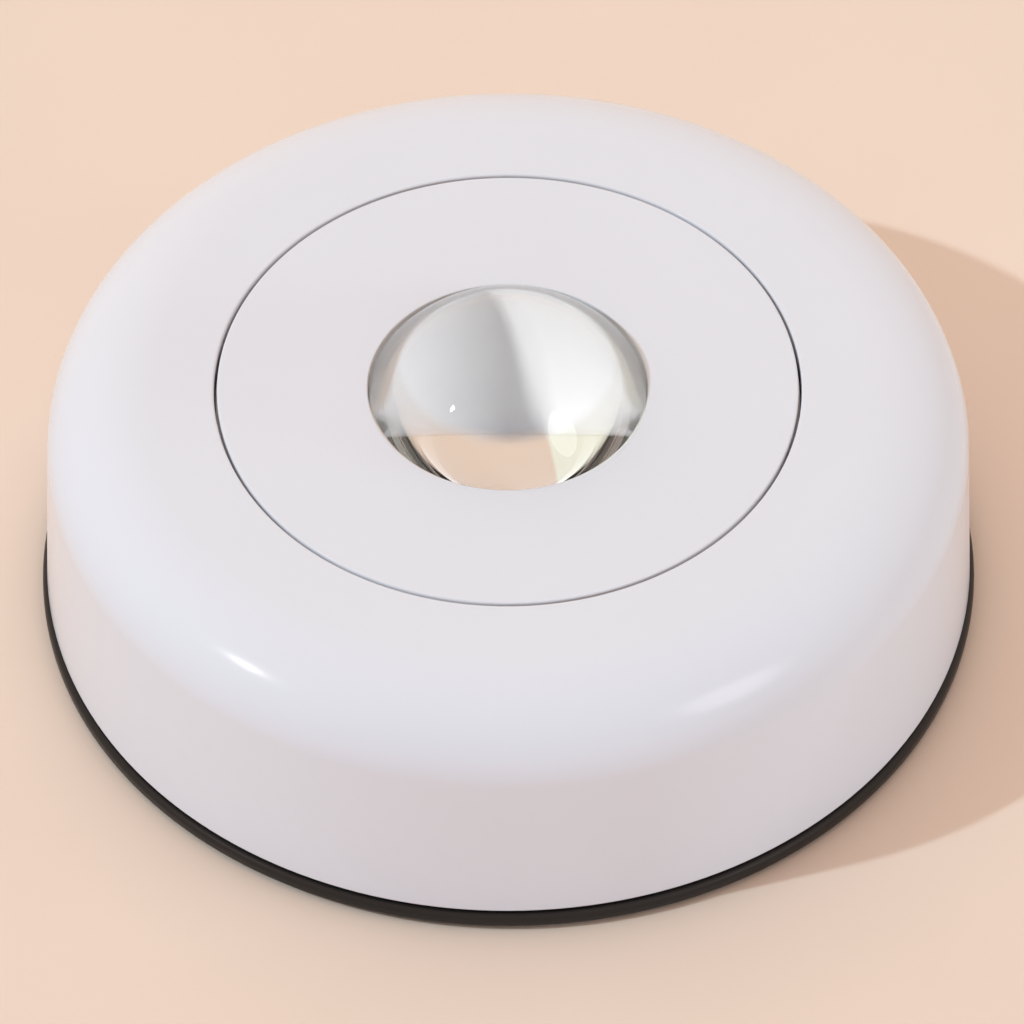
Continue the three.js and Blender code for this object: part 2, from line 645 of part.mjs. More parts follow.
function tabSlot(side) {
  const halfX = TAB_WIDTH / 2 + SLOT_CLEARANCE;
  const [near, far] = [CONTACT_FACE - SLOT_CLEARANCE, BAY_HALF_LENGTH];
  const low = [side * CELL_SPACING - halfX, side > 0 ? near : -far, BAY_CEILING - EMBED];
  const high = [side * CELL_SPACING + halfX, side > 0 ? far : -near, ROOF_TOP + OVERRUN];
  return block(low, high);
}

function gusset(sideX, sideY) {
  const inner = BAY_HALF_WIDTH + BAY_WALL / 2;
  const outer = SCREW_CIRCLE - CUP_EDGE;
  const low = sideX > 0 ? inner : -outer;
  const high = sideX > 0 ? outer : -inner;
  const middle = sideY * GUSSET_PLACE;
  const half = GUSSET_THICKNESS / 2;
  const [foot, top] = [PLATE_TOP - EMBED, PLATE_TOP + GUSSET_HEIGHT];
  return block([low, middle - half, foot], [high, middle + half, top]);
}

// The chassis: a disc with the battery bay, the screw cups and the board's standoffs on it.
function backPlate() {
  const additions = [bayBlock()];
  const cuts = [bayCavity(), tabSlot(1), tabSlot(-1)];
  for (const angle of SCREW_ANGLES) {
    const place = onCircle(SCREW_CIRCLE, angle);
    additions.push(post(CUP_RADIUS, PLATE_BOTTOM, CUP_TOP, place, SMALL_SEGMENTS));
    cuts.push(post(CUP_BORE_RADIUS, PLATE_BOTTOM - OVERRUN, CUP_SEAT, place, SMALL_SEGMENTS));
    cuts.push(post(CUP_HOLE_RADIUS, CUP_SEAT - OVERRUN, CUP_TOP + OVERRUN, place, FINE_SEGMENTS));
  }
  for (const side of [1, -1]) {
    const place = [0, side * BOARD_SCREW_PLACE];
    additions.push(post(STANDOFF_RADIUS, ROOF_TOP - EMBED, BOARD_BOTTOM, place, FINE_SEGMENTS));
    const pilotFoot = BOARD_TOP - BOARD_SCREW_LENGTH - SCREW_POINT_GAP;
    cuts.push(post(BOARD_SCREW_HOLE_RADIUS, pilotFoot, BOARD_BOTTOM + OVERRUN, place, FINE_SEGMENTS));
    additions.push(gusset(1, side), gusset(-1, side));
  }
  for (const angle of RETURN_SPRING_ANGLES) {
    const place = onCircle(SPRING_CIRCLE, angle);
    const top = ROOF_TOP + SPRING_PIN_LENGTH;
    additions.push(post(SPRING_PIN_RADIUS, ROOF_TOP - EMBED, top, place, FINE_SEGMENTS));
  }
  const disc = post(PLATE_RADIUS, PLATE_BOTTOM, PLATE_TOP, [0, 0], RING_SEGMENTS);
  return cut(join(disc, ...additions), ...cuts);
}

function circuitBoard() {
  const half = BOARD_RADIUS + OVERRUN;
  const cuts = [];
  for (const side of [1, -1]) {
    const [near, far] = [side * BOARD_FLAT, side * half];
    const low = [-half, Math.min(near, far), BOARD_BOTTOM - OVERRUN];
    const high = [half, Math.max(near, far), BOARD_TOP + OVERRUN];
    cuts.push(block(low, high));
    const place = [0, side * BOARD_SCREW_PLACE];
    const [foot, top] = [BOARD_BOTTOM - OVERRUN, BOARD_TOP + OVERRUN];
    cuts.push(post(BOARD_SCREW_HOLE_RADIUS, foot, top, place, FINE_SEGMENTS));
  }
  for (const angle of RETURN_SPRING_ANGLES) {
    const place = onCircle(SPRING_CIRCLE, angle);
    const [foot, top] = [BOARD_BOTTOM - OVERRUN, BOARD_TOP + OVERRUN];
    cuts.push(post(BOARD_NOTCH_RADIUS, foot, top, place, SMALL_SEGMENTS));
  }
  return cut(post(BOARD_RADIUS, BOARD_BOTTOM, BOARD_TOP, [0, 0], LENS_SEGMENTS), ...cuts);
}

function ledPackage() {
  const half = LED_WIDTH / 2;
  return block([-half, -half, BOARD_TOP], [half, half, BOARD_TOP + LED_HEIGHT]);
}

function ledPhosphor() {
  const foot = BOARD_TOP + LED_HEIGHT;
  return post(PHOSPHOR_RADIUS, foot, foot + PHOSPHOR_HEIGHT, [0, 0], SMALL_SEGMENTS);
}

function resistor() {
  const [x, y] = RESISTOR_PLACE;
  const [halfX, halfY] = [RESISTOR_WIDTH / 2, RESISTOR_LENGTH / 2];
  return block([x - halfX, y - halfY, BOARD_TOP], [x + halfX, y + halfY, BOARD_TOP + RESISTOR_HEIGHT]);
}

function switchBody() {
  const half = SWITCH_WIDTH / 2;
  const box = block([SWITCH_PLACE - half, -half, BOARD_TOP], [SWITCH_PLACE + half, half, SWITCH_TOP]);
  const boreFoot = BOARD_TOP + SWITCH_FLOOR;
  const place = [SWITCH_PLACE, 0];
  return box.subtract(post(PLUNGER_RADIUS + RUN_GAP, boreFoot, SWITCH_TOP + OVERRUN, place, SMALL_SEGMENTS));
}

function switchPlunger() {
  return post(PLUNGER_RADIUS, PLUNGER_BOTTOM, PLUNGER_TOP, [SWITCH_PLACE, 0], SMALL_SEGMENTS);
}

// A pan-head screw, built with its head down and its shank up from the head's seat at height zero.
function screw(headRadius, headHeight, shankRadius, length) {
  const outline = [
    [0, -headHeight],
    [headRadius / 2, -headHeight],
    [headRadius, -headHeight / 2],
    [headRadius, 0],
    [shankRadius, 0],
    [shankRadius, length - SCREW_TIP],
    [shankRadius / 2, length],
    [0, length],
  ];
  return revolve(outline, FINE_SEGMENTS);
}

function bodyScrew(angle) {
  const [x, y] = onCircle(SCREW_CIRCLE, angle);
  const piece = screw(
    BODY_SCREW_HEAD_RADIUS,
    BODY_SCREW_HEAD_HEIGHT,
    BODY_SCREW_SHANK_RADIUS,
    BODY_SCREW_LENGTH,
  );
  return piece.translate(x, y, CUP_SEAT);
}

function boardScrew(side) {
  const piece = screw(
    BOARD_SCREW_HEAD_RADIUS,
    BOARD_SCREW_HEAD_HEIGHT,
    BOARD_SCREW_SHANK_RADIUS,
    BOARD_SCREW_LENGTH,
  );
  return piece.rotate(180, 0, 0).translate(0, side * BOARD_SCREW_PLACE, BOARD_TOP);
}

// A slim cell along Y. Its raised end points along +Y where facing is 1, and along -Y where it is -1.
function cell(place, facing) {
  const half = CELL_LENGTH / 2;
  const can = CELL_LENGTH - CELL_NUB_LENGTH;
  const outline = [
    [0, 0],
    [CELL_RADIUS - CELL_EDGE, 0],
    [CELL_RADIUS, CELL_EDGE],
    [CELL_RADIUS, can - CELL_CRIMP_DEPTH],
    [CELL_RADIUS - CELL_CRIMP_INSET, can],
    [CELL_NUB_RADIUS, can],
    [CELL_NUB_RADIUS, CELL_LENGTH],
    [0, CELL_LENGTH],
  ];
  const tip = CONTACT_FACE - DIMPLE_HEIGHT - SEAT_GAP;
  const upright = revolve(outline, SMALL_SEGMENTS).translate(0, 0, -half);
  const lying = upright.rotate(-90 * facing, 0, 0);
  return lying.translate(place, facing * (tip - half), CELL_AXIS);
}

// The conical spring at the flat end of a cell that faces the given way.
function cellSpring(index, place, facing) {
  const length = CELL_SPRING_SPACE - 2 * SPRING_SEAT_GAP;
  const label = `cell spring ${index}`;
  const piece = spring(
    label,
    CELL_SPRING_WIDE,
    CELL_SPRING_NARROW,
    length,
    CELL_SPRING_TURNS,
    CELL_SPRING_WIRE,
  );
  const start = -facing * (CONTACT_FACE - SPRING_SEAT_GAP);
  return piece.rotate(-90 * facing, 0, 0).translate(place, start, CELL_AXIS);
}

function returnSpring(index, angle) {
  const [x, y] = onCircle(SPRING_CIRCLE, angle);
  const length = UNDERSIDE - ROOF_TOP - 2 * SPRING_SEAT_GAP;
  const radius = RETURN_SPRING_RADIUS;
  const label = `return spring ${index}`;
  const piece = spring(label, radius, radius, length, RETURN_SPRING_TURNS, RETURN_SPRING_WIRE);
  return piece.translate(x, y, ROOF_TOP + SPRING_SEAT_GAP);
}

// A sprung plate on an end wall, over the cells between two places, with a dimple for a raised end.
function contact(from, to, end, dimplePlace) {
  const half = CONTACT_WIDTH / 2;
  const [near, far] = [end * CONTACT_FACE, end * BAY_HALF_LENGTH];
  const low = [from - half, Math.min(near, far), CONTACT_BOTTOM];
  const high = [to + half, Math.max(near, far), CONTACT_TOP];
  const plate = block(low, high);
  if (dimplePlace === null) {
    return plate;
  }
  const depth = DIMPLE_HEIGHT + CONTACT_THICKNESS / 2;
  const dimple = new THREE.CylinderGeometry(DIMPLE_RADIUS, DIMPLE_RADIUS, depth, FINE_SEGMENTS);
  dimple.translate(dimplePlace, end * (CONTACT_FACE - DIMPLE_HEIGHT + depth / 2), CELL_AXIS);
  return plate.add(toSolid(dimple));
}

// The solder tab of an end contact, up through the slot in the bay's roof.
function contactTab(side) {
  const half = TAB_WIDTH / 2;
  const [near, far] = [side * CONTACT_FACE, side * BAY_HALF_LENGTH];
  const foot = CONTACT_TOP - EMBED;
  const low = [side * CELL_SPACING - half, Math.min(near, far), foot];
  const high = [side * CELL_SPACING + half, Math.max(near, far), TAB_TOP];
  return block(low, high);
}

// A lead from a tab, over the roof, up past the board's flat edge and down on the board.
function lead(side) {
  const low = ROOF_TOP + SEAT_GAP + WIRE_RADIUS;
  const edge = BOARD_FLAT + LEAD_EDGE_GAP + WIRE_RADIUS;
  const start = CONTACT_FACE - SEAT_GAP;
  const crest = BOARD_TOP + LEAD_ARCH;
  const landing = BOARD_FLAT - LEAD_EDGE_GAP - WIRE_RADIUS;
  const route = [
    [CELL_SPACING, start, low],
    [(CELL_SPACING + LEAD_RISE_X) / 2, (start + edge) / 2, low],
    [LEAD_RISE_X, edge + WIRE_RADIUS, low + WIRE_RADIUS],
    [LEAD_RISE_X, edge, BOARD_TOP],
    [LEAD_RISE_X, BOARD_FLAT, crest],
    [LEAD_RISE_X, landing + WIRE_RADIUS, crest - WIRE_RADIUS / 2],
    [LEAD_RISE_X, landing, BOARD_TOP + SEAT_GAP],
  ];
  const points = route.map(([x, y, z]) => new THREE.Vector3(side * x, side * y, z));
  const curve = new THREE.CatmullRomCurve3(points, false, 'centripetal');
  return tube(curve, WIRE_RADIUS, LEAD_SIDES, LEAD_STEPS);
}

const group = new THREE.Group();

function place(name, solid, material) {
  const mesh = new THREE.Mesh(toGeometry(solid), material.clone());
  mesh.name = name;
  group.add(mesh);
}

place('adhesive_pad', adhesivePad(), foam);
place('mounting_base', mountingBase(), black);
place('housing', housing(), white);
place('back_plate', backPlate(), white);
SCREW_ANGLES.forEach((angle, i) => place(`body_screw_${i + 1}`, bodyScrew(angle), steel));

place('press_disc', pressDisc(), white);
place('lens', lens(), clear);
place('reflector_ring', reflectorRing(), cone);
RETURN_SPRING_ANGLES.forEach((angle, i) => {
  place(`return_spring_${i + 1}`, returnSpring(i + 1, angle), steel);
});

place('circuit_board', circuitBoard(), laminate);
place('board_screw_1', boardScrew(1), steel);
place('board_screw_2', boardScrew(-1), steel);
place('led_package', ledPackage(), ceramic);
place('led_phosphor', ledPhosphor(), phosphor);
place('resistor', resistor(), darkPlastic);
place('switch_body', switchBody(), darkPlastic);
place('switch_plunger', switchPlunger(), redPlastic);

// The cells lie head to tail, so that the contacts join them in one chain.
[[-CELL_SPACING, 1], [0, -1], [CELL_SPACING, 1]].forEach(([x, facing], i) => {
  place(`cell_${i + 1}`, cell(x, facing), sleeve);
  place(`cell_spring_${i + 1}`, cellSpring(i + 1, x, facing), nickel);
});
place('contact_negative', contact(-CELL_SPACING, -CELL_SPACING, -1, null).add(contactTab(-1)), nickel);
place('contact_link_a', contact(-CELL_SPACING, 0, 1, -CELL_SPACING), nickel);
place('contact_link_b', contact(0, CELL_SPACING, -1, 0), nickel);
place('contact_positive', contact(CELL_SPACING, CELL_SPACING, 1, CELL_SPACING).add(contactTab(1)), nickel);
place('wire_negative', lead(-1), blackLead);
place('wire_positive', lead(1), redLead);

export default group;
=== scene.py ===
# The looks of the puck light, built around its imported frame. Lengths are in metres, +Z is up.

import math

import bpy
import bmesh
from mathutils import Color, Matrix, Vector


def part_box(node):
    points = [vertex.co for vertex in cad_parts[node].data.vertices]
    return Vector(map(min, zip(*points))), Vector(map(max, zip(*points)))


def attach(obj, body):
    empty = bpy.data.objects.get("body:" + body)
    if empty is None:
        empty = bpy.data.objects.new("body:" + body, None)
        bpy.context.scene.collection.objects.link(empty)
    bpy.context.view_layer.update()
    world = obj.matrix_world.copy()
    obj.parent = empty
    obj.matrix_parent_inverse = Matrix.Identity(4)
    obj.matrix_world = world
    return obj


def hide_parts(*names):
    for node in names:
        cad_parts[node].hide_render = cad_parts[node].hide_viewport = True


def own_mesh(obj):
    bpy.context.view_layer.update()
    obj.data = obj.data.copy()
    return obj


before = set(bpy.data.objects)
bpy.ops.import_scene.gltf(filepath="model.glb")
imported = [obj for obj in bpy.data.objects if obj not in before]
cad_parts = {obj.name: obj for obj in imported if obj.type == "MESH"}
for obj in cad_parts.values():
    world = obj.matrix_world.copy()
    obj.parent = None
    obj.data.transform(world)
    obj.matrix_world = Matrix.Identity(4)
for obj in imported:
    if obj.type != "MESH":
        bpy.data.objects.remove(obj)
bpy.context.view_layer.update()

MM = 0.001

# Outside of the body, as in the frame
BODY_RADIUS = 40 * MM
BODY_TOP = 23.9 * MM
WALL = 1.8 * MM
SHOULDER_REACH = 9.1 * MM
SHOULDER_DROP = 6.8 * MM
WALL_DRAFT = 0.49 * MM
RING_REVEAL = 0.4 * MM
FOOT_EDGE = 0.25 * MM
SEAM_EDGE = 0.2 * MM
SEAM_WIDTH = 0.24 * MM
SEAM_GAP = 0.4 * MM
RUN_GAP = 0.3 * MM
FILM = 0.03 * MM
OVERRUN = 1 * MM
EMBED = 0.6 * MM

# Base, pad and twist lock
PAD_RADIUS = 20 * MM
PAD_THICKNESS = 0.9 * MM
PAD_PROUD = 0.3 * MM
PAD_CLEARANCE = 0.5 * MM
PAD_EDGE = 0.2 * MM
BASE_TOP = 1.75 * MM
BASE_EDGE = 0.55 * MM
BASE_SCREW_CIRCLE = 27 * MM
BASE_SCREW_RADIUS = 2.1 * MM
BASE_SINK_RADIUS = 3.5 * MM
BASE_SINK_DEPTH = 1.1 * MM
LUG_ANGLES = (30, 150, 270)
LUG_HALF_ANGLE = 14
STOP_CLEAR_ANGLE = 0.8
STOP_ANGLE = 3
LUG_RADIUS = 36.6 * MM
LUG_REACH = 1.6 * MM
LUG_BOTTOM = 4 * MM
LUG_TOP = 5.6 * MM
COLLAR_WALL = 1.6 * MM
LEDGE_RADIUS = 35.4 * MM
LEDGE_LIFT = 0.2 * MM
LEDGE_THICKNESS = 1.5 * MM

# Housing and disc
OPENING_LIP = 1.4 * MM
OPENING_LIP_DEPTH = 2.5 * MM
BOSS_RADIUS = 2.4 * MM
BOSS_PILOT_RADIUS = 1.3 * MM
BOSS_PILOT_DEPTH = 8 * MM
WEB_THICKNESS = 1.2 * MM
WEB_LIFT = 3.2 * MM
WEB_TOP_ANGLE = 80
SCREW_ANGLES = (35, 145, 215, 325)
SCREW_CIRCLE = 29 * MM
FLANGE_RADIUS = 26 * MM
FLANGE_THICKNESS = 1.2 * MM
FLANGE_REACH = 1.5 * MM
RIM_STEP_DEPTH = 1.3 * MM
RIM_STEP_GAP = 0.12 * MM
STEM_RADIUS = 1.6 * MM
STEM_BOTTOM = 20.5 * MM
PIN_RADIUS = 1.3 * MM
PIN_LENGTH = 1.6 * MM

# Lens and the cone under it
LENS_RADIUS = 11.7 * MM
LENS_GAP = 0.13 * MM
LENS_EDGE = 0.12 * MM
LENS_CURVE_RADIUS = 10.3 * MM
LENS_BALL_SHARE = 0.25
LENS_FLANGE_REACH = 1.45 * MM
LENS_FLANGE_THICKNESS = 1 * MM
LENS_RIM_DROP = 0.2 * MM
LENS_COLLAR_WALL = 1.4 * MM
LENS_LIP_REACH = 0.35 * MM
LENS_COLLAR_DEPTH = 1.4 * MM
CONE_RIM = 0.8 * MM
CONE_WALL = 0.6 * MM
CONE_DROP = 1.7 * MM
CONE_MOUTH_RADIUS = 3.4 * MM

# Back plate and battery bay
PLATE_RADIUS = 32.8 * MM
PLATE_BOTTOM = 2.3 * MM
PLATE_TOP = 3.8 * MM
CUP_RADIUS = 3.6 * MM
CUP_SEAT = 4.3 * MM
CUP_TOP = 5.8 * MM
CUP_BORE_RADIUS = 2.5 * MM
CUP_HOLE_RADIUS = 1.3 * MM
CELL_AXIS = 7.75 * MM
CELL_SPACING = 11.4 * MM
TROUGH_RADIUS = 5.55 * MM
BAY_WALL = 1.4 * MM
BAY_CORNER = 3 * MM
BAY_POCKET = 1 * MM
BAY_RIDGE_LIFT = 1.25 * MM
BAY_HALF_WIDTH = 16.95 * MM
BAY_HALF_LENGTH = 24.75 * MM
BAY_CEILING = 13.3 * MM
ROOF_TOP = 14.5 * MM
GUSSET_THICKNESS = 1.2 * MM
GUSSET_HEIGHT = 3 * MM
GUSSET_PLACE = 9 * MM
GUSSET_INSET = 0.2 * MM
STANDOFF_RADIUS = 2 * MM
PILOT_FOOT = 13.8 * MM
CONTACT_THICKNESS = 0.4 * MM
CONTACT_WIDTH = 8.4 * MM
CONTACT_EDGE = 0.1 * MM
DIMPLE_RADIUS = 2.2 * MM
DIMPLE_HEIGHT = 0.5 * MM
CONTACT_BOTTOM = 3.3 * MM
CONTACT_TOP = 12.5 * MM
TAB_TOP = 16 * MM
TAB_WIDTH = 2 * MM
SLOT_CLEARANCE = 0.3 * MM
SEAT_GAP = 0.3 * MM

# Board and what it carries
BOARD_RADIUS = 21.5 * MM
BOARD_FLAT = 17.2 * MM
BOARD_BOTTOM = 15.5 * MM
BOARD_TOP = 16.7 * MM
BOARD_NOTCH_RADIUS = 2.9 * MM
BOARD_SCREW_PLACE = 15.2 * MM
BOARD_SCREW_HOLE_RADIUS = 1.1 * MM
PLUNGER_RADIUS = 1.5 * MM
SWITCH_PLACE = 18.2 * MM
SWITCH_FLOOR = 0.2 * MM
PART_EDGE = 0.15 * MM
LED_WELL_RADIUS = 1.9 * MM
LED_WELL_DEPTH = 0.15 * MM
PHOSPHOR_RIM_SHARE = 0.25
RESISTOR_CAP = 0.6 * MM
RESISTOR_CAP_PROUD = 0.03 * MM
LEG_WIDTH = 0.7 * MM
LEG_HEIGHT = 0.3 * MM
LEG_REACH = 0.7 * MM
LEG_PLACE = 2.2 * MM

# Springs, cells, screws and wires
SPRING_CIRCLE = 19.7 * MM
SPRING_ANGLES = (45, 135, 225, 315)
SPRING_SEAT_GAP = 0.2 * MM
RETURN_SPRING_WIRE = 0.5 * MM
RETURN_SPRING_RADIUS = 1.95 * MM
RETURN_SPRING_TURNS = 4.5
CELL_SPRING_WIRE = 0.45 * MM
CELL_SPRING_WIDE = 3.1 * MM
CELL_SPRING_NARROW = 1.7 * MM
CELL_SPRING_TURNS = 2.5
CELL_SPRING_SPACE = 3.4 * MM
RETURN_SPRING_END_TURNS = 0.75
CELL_SPRING_END_TURNS = 0.5
COIL_END_PITCH_SHARE = 1.3
CELL_RADIUS = 5.25 * MM
CELL_NUB_RADIUS = 1.9 * MM
CELL_NUB_LENGTH = 0.9 * MM
CELL_GROOVE_PLACE = 1.5 * MM
CELL_GROOVE_DEPTH = 0.25 * MM
CELL_EDGE = 0.45 * MM
CELL_SHOULDER = 1.3 * MM
CELL_NUB_EDGE = 0.3 * MM
BODY_SCREW_HEAD_RADIUS = 2.1 * MM
BODY_SCREW_HEAD_HEIGHT = 1.2 * MM
BODY_SCREW_SHANK = 1 * MM
BODY_SCREW_LENGTH = 8 * MM
BOARD_SCREW_HEAD_RADIUS = 1.8 * MM
BOARD_SCREW_HEAD_HEIGHT = 0.9 * MM
BOARD_SCREW_SHANK = 0.8 * MM
BOARD_SCREW_LENGTH = 2.6 * MM
SCREW_TIP = 0.4 * MM
SCREW_SLOT_WIDTH = 0.45 * MM
SCREW_SLOT_DEPTH = 0.6 * MM
THREAD_DEPTH = 0.12 * MM
THREAD_PITCH = 0.8 * MM
LEAD_RADIUS = 0.5 * MM
LEAD_RISE_X = 6.4 * MM
LEAD_ARCH = 1.3 * MM
LEAD_EDGE_GAP = 0.9 * MM
LEAD_STEPS = 12

# Facets of round forms
ROUND_SEGMENTS = 192
SMALL_SEGMENTS = 48
SHOULDER_STEPS = 40
EDGE_STEPS = 6
LENS_STEPS = 64
COIL_STEPS = 32
WIRE_SIDES = 12
SUPPORT = 0.1 * MM
SUPPORTED_LENGTH = 4 * SUPPORT
SHARP_ANGLE = math.radians(32)
BEVEL_STEPS = 3
BEVEL_PROFILE_SHARE = 0.5
MATRIX_ROWS = 4

# Turns and directions in degrees. On a drawn outline, right is away from the axis.
FULL_TURN = 360
HALF_TURN = 180
QUARTER_TURN = 90
RIGHT = 0
UP = 90
LEFT = 180
DOWN = -90

# The highest display value of a colour
DISPLAY_TOP = 255

# Places worked out from the sizes above
UNDERSIDE = BODY_TOP - WALL
SHOULDER_FOOT = BODY_TOP - SHOULDER_DROP
HOUSING_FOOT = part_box("housing")[0][2]
HOUSING_FOOT_RADIUS = BODY_RADIUS - RING_REVEAL
INNER_FOOT_RADIUS = HOUSING_FOOT_RADIUS - WALL
SHOULDER_TOP_RADIUS = HOUSING_FOOT_RADIUS - WALL_DRAFT - SHOULDER_REACH
LIP_BOTTOM = UNDERSIDE - OPENING_LIP_DEPTH
FLANGE_TOP = LIP_BOTTOM - RUN_GAP
FLANGE_BOTTOM = FLANGE_TOP - FLANGE_THICKNESS
DISC_RADIUS = FLANGE_RADIUS - FLANGE_REACH
OPENING_RADIUS = DISC_RADIUS + SEAM_GAP
LIP_RADIUS = OPENING_RADIUS + OPENING_LIP
SEAM_INNER_RADIUS = (OPENING_RADIUS + DISC_RADIUS - SEAM_WIDTH) / 2
SEAM_OUTER_RADIUS = SEAM_INNER_RADIUS + SEAM_WIDTH
SKIRT_BORE = DISC_RADIUS - WALL
LENS_HOLE = LENS_RADIUS + LENS_GAP
LENS_RIM = BODY_TOP - LENS_RIM_DROP
LENS_BOTTOM = UNDERSIDE - LENS_FLANGE_THICKNESS
LENS_FLANGE_RADIUS = LENS_RADIUS + LENS_FLANGE_REACH
LENS_LIP_RADIUS = LENS_HOLE + LENS_LIP_REACH
LENS_COLLAR_BOTTOM = UNDERSIDE - LENS_COLLAR_DEPTH
LEDGE_BOTTOM = HOUSING_FOOT + LEDGE_LIFT
COLLAR_RADIUS = LUG_RADIUS - LUG_REACH
COLLAR_BORE = COLLAR_RADIUS - COLLAR_WALL
CONTACT_FACE = BAY_HALF_LENGTH - CONTACT_THICKNESS


def linear(red, green, blue):
    """A colour written as 8-bit display values, as the linear colour that shaders take."""
    colour = Color([value / DISPLAY_TOP for value in (red, green, blue)])
    return (*colour.from_srgb_to_scene_linear(), 1)


def arc(centre, reach, start, end, steps):
    """Points on a stretch of an ellipse, for the round edges of an outline."""
    points = []
    for i in range(steps + 1):
        angle = math.radians(start + (end - start) * i / steps)
        points.append((centre[0] + reach[0] * math.cos(angle), centre[1] + reach[1] * math.sin(angle)))
    return points


def rounded(centre, edge, start, end):
    """A round edge of an outline, from one direction to another."""
    return arc(centre, (edge, edge), start, end, EDGE_STEPS)


def rounded_side(radius, bottom, top, edge):
    """The side of a round body with both its edges rounded, from its underside up to its top."""
    lower = rounded((radius - edge, bottom + edge), edge, DOWN, RIGHT)
    return lower + rounded((radius - edge, top - edge), edge, RIGHT, UP)


def on_circle(radius, angle):
    return (radius * math.cos(math.radians(angle)), radius * math.sin(math.radians(angle)))


SCREW_PLACES = [on_circle(SCREW_CIRCLE, angle) for angle in SCREW_ANGLES]
SPRING_PLACES = [on_circle(SPRING_CIRCLE, angle) for angle in SPRING_ANGLES]
BOARD_SCREW_PLACES = [(0, BOARD_SCREW_PLACE), (0, -BOARD_SCREW_PLACE)]


def supported(outline, closed):
    """The outline with an added point near both ends of each long line, so that flats shade flat."""
    count = len(outline)
    points = []
    for i, here in enumerate(outline):
        points.append(here)
        if i + 1 == count and not closed:
            break
        there = outline[(i + 1) % count]
        step = Vector(there) - Vector(here)
        if step.length > SUPPORTED_LENGTH:
            inset = step.normalized() * SUPPORT
            points += [tuple(Vector(here) + inset), tuple(Vector(there) - inset)]
    return points


def shade(mesh):
    """Smooth shading up to the sharp angle."""
    mesh.polygons.foreach_set("use_smooth", [True] * len(mesh.polygons))
    mesh.set_sharp_from_angle(angle=SHARP_ANGLE)


def in_scene(name, data):
    obj = bpy.data.objects.new(name, data)
    bpy.context.scene.collection.objects.link(obj)
    return obj


def finish_mesh(name, bm):
    """An object from a bmesh, with its faces pointing out."""
    bmesh.ops.recalc_face_normals(bm, faces=bm.faces)
    mesh = bpy.data.meshes.new(name)
    bm.to_mesh(mesh)
    bm.free()
    shade(mesh)
    return in_scene(name, mesh)


def bridge(bm, rings, closed):
    """Faces between neighbouring rings of points. A ring of one point is a tip."""
    count = max(len(ring) for ring in rings)
    pairs = list(zip(rings, rings[1:]))
    if closed:
        pairs.append((rings[-1], rings[0]))
    for below, above in pairs:
        for i in range(count):
            k = (i + 1) % count
            lower = [below[i % len(below)], below[k % len(below)]]
            upper = [above[k % len(above)], above[i % len(above)]]
            distinct = list(dict.fromkeys(lower + upper))
            if len(distinct) > 2:
                bm.faces.new(distinct)


def lathe(name, outline, segments=ROUND_SEGMENTS, place=(0, 0)):
    """A closed body: an outline of (radius, height) points turned about an upright axis."""
    on_axis = outline[0][0] == 0 and outline[-1][0] == 0
    bm = bmesh.new()
    rings = []
    for radius, height in supported(outline, not on_axis):
        if radius == 0:
            rings.append([bm.verts.new((place[0], place[1], height))])
            continue
        ring = []
        for i in range(segments):
            x, y = on_circle(radius, FULL_TURN * i / segments)
            ring.append(bm.verts.new((place[0] + x, place[1] + y, height)))
        rings.append(ring)
    bridge(bm, rings, not on_axis)
    return finish_mesh(name, bm)


def post(name, radius, bottom, top, place, segments=SMALL_SEGMENTS):
    return lathe(name, [(0, bottom), (radius, bottom), (radius, top), (0, top)], segments, place)


def prism(name, points, bottom, top):
    """A closed body: a flat outline of (x, y) points with a height."""
    bm = bmesh.new()
    low = [bm.verts.new((x, y, bottom)) for x, y in points]
    high = [bm.verts.new((x, y, top)) for x, y in points]
    bm.faces.new(low)
    bm.faces.new(high)
    bridge(bm, [low, high], False)
    return finish_mesh(name, bm)


def sector(name, inner, outer, bottom, top, start, end):
    """A stretch of a ring between two radii, two heights and two angles."""
    steps = SMALL_SEGMENTS // 2
    there = arc((0, 0), (outer, outer), start, end, steps)
    back = arc((0, 0), (inner, inner), end, start, steps)
    return prism(name, there + back, bottom, top)


def block(name, low, high, edge=0):
    """A box between two corners, with its edges rounded where an edge radius is given."""
    bm = bmesh.new()
    bmesh.ops.create_cube(bm, size=1)
    size = Vector(high) - Vector(low)
    for vert in bm.verts:
        vert.co = Vector(low) + Vector([side * (at + 1 / 2) for side, at in zip(size, vert.co)])
    if edge > 0:
        bmesh.ops.bevel(
            bm, geom=bm.edges[:], offset=edge, segments=BEVEL_STEPS, profile=BEVEL_PROFILE_SHARE,
            affect="EDGES",
        )
    return finish_mesh(name, bm)


def tube(name, points, radius):
    """A closed round wire along a line of points, with caps that are a little rounded."""
    path = [Vector(point) for point in points]
    bm = bmesh.new()
    rings = [[bm.verts.new(path[0])]]
    across = None
    for i, here in enumerate(path):
        ahead = (path[min(i + 1, len(path) - 1)] - path[max(i - 1, 0)]).normalized()
        if across is None:
            across = ahead.orthogonal()
        across = (across - ahead * across.dot(ahead)).normalized()
        up = ahead.cross(across)
        ring = []
        for k in range(WIRE_SIDES):
            turn = 2 * math.pi * k / WIRE_SIDES
            ring.append(bm.verts.new(here + radius * (math.cos(turn) * across + math.sin(turn) * up)))
        rings.append(ring)
    rings.append([bm.verts.new(path[-1])])
    bridge(bm, rings, False)
    return finish_mesh(name, bm)


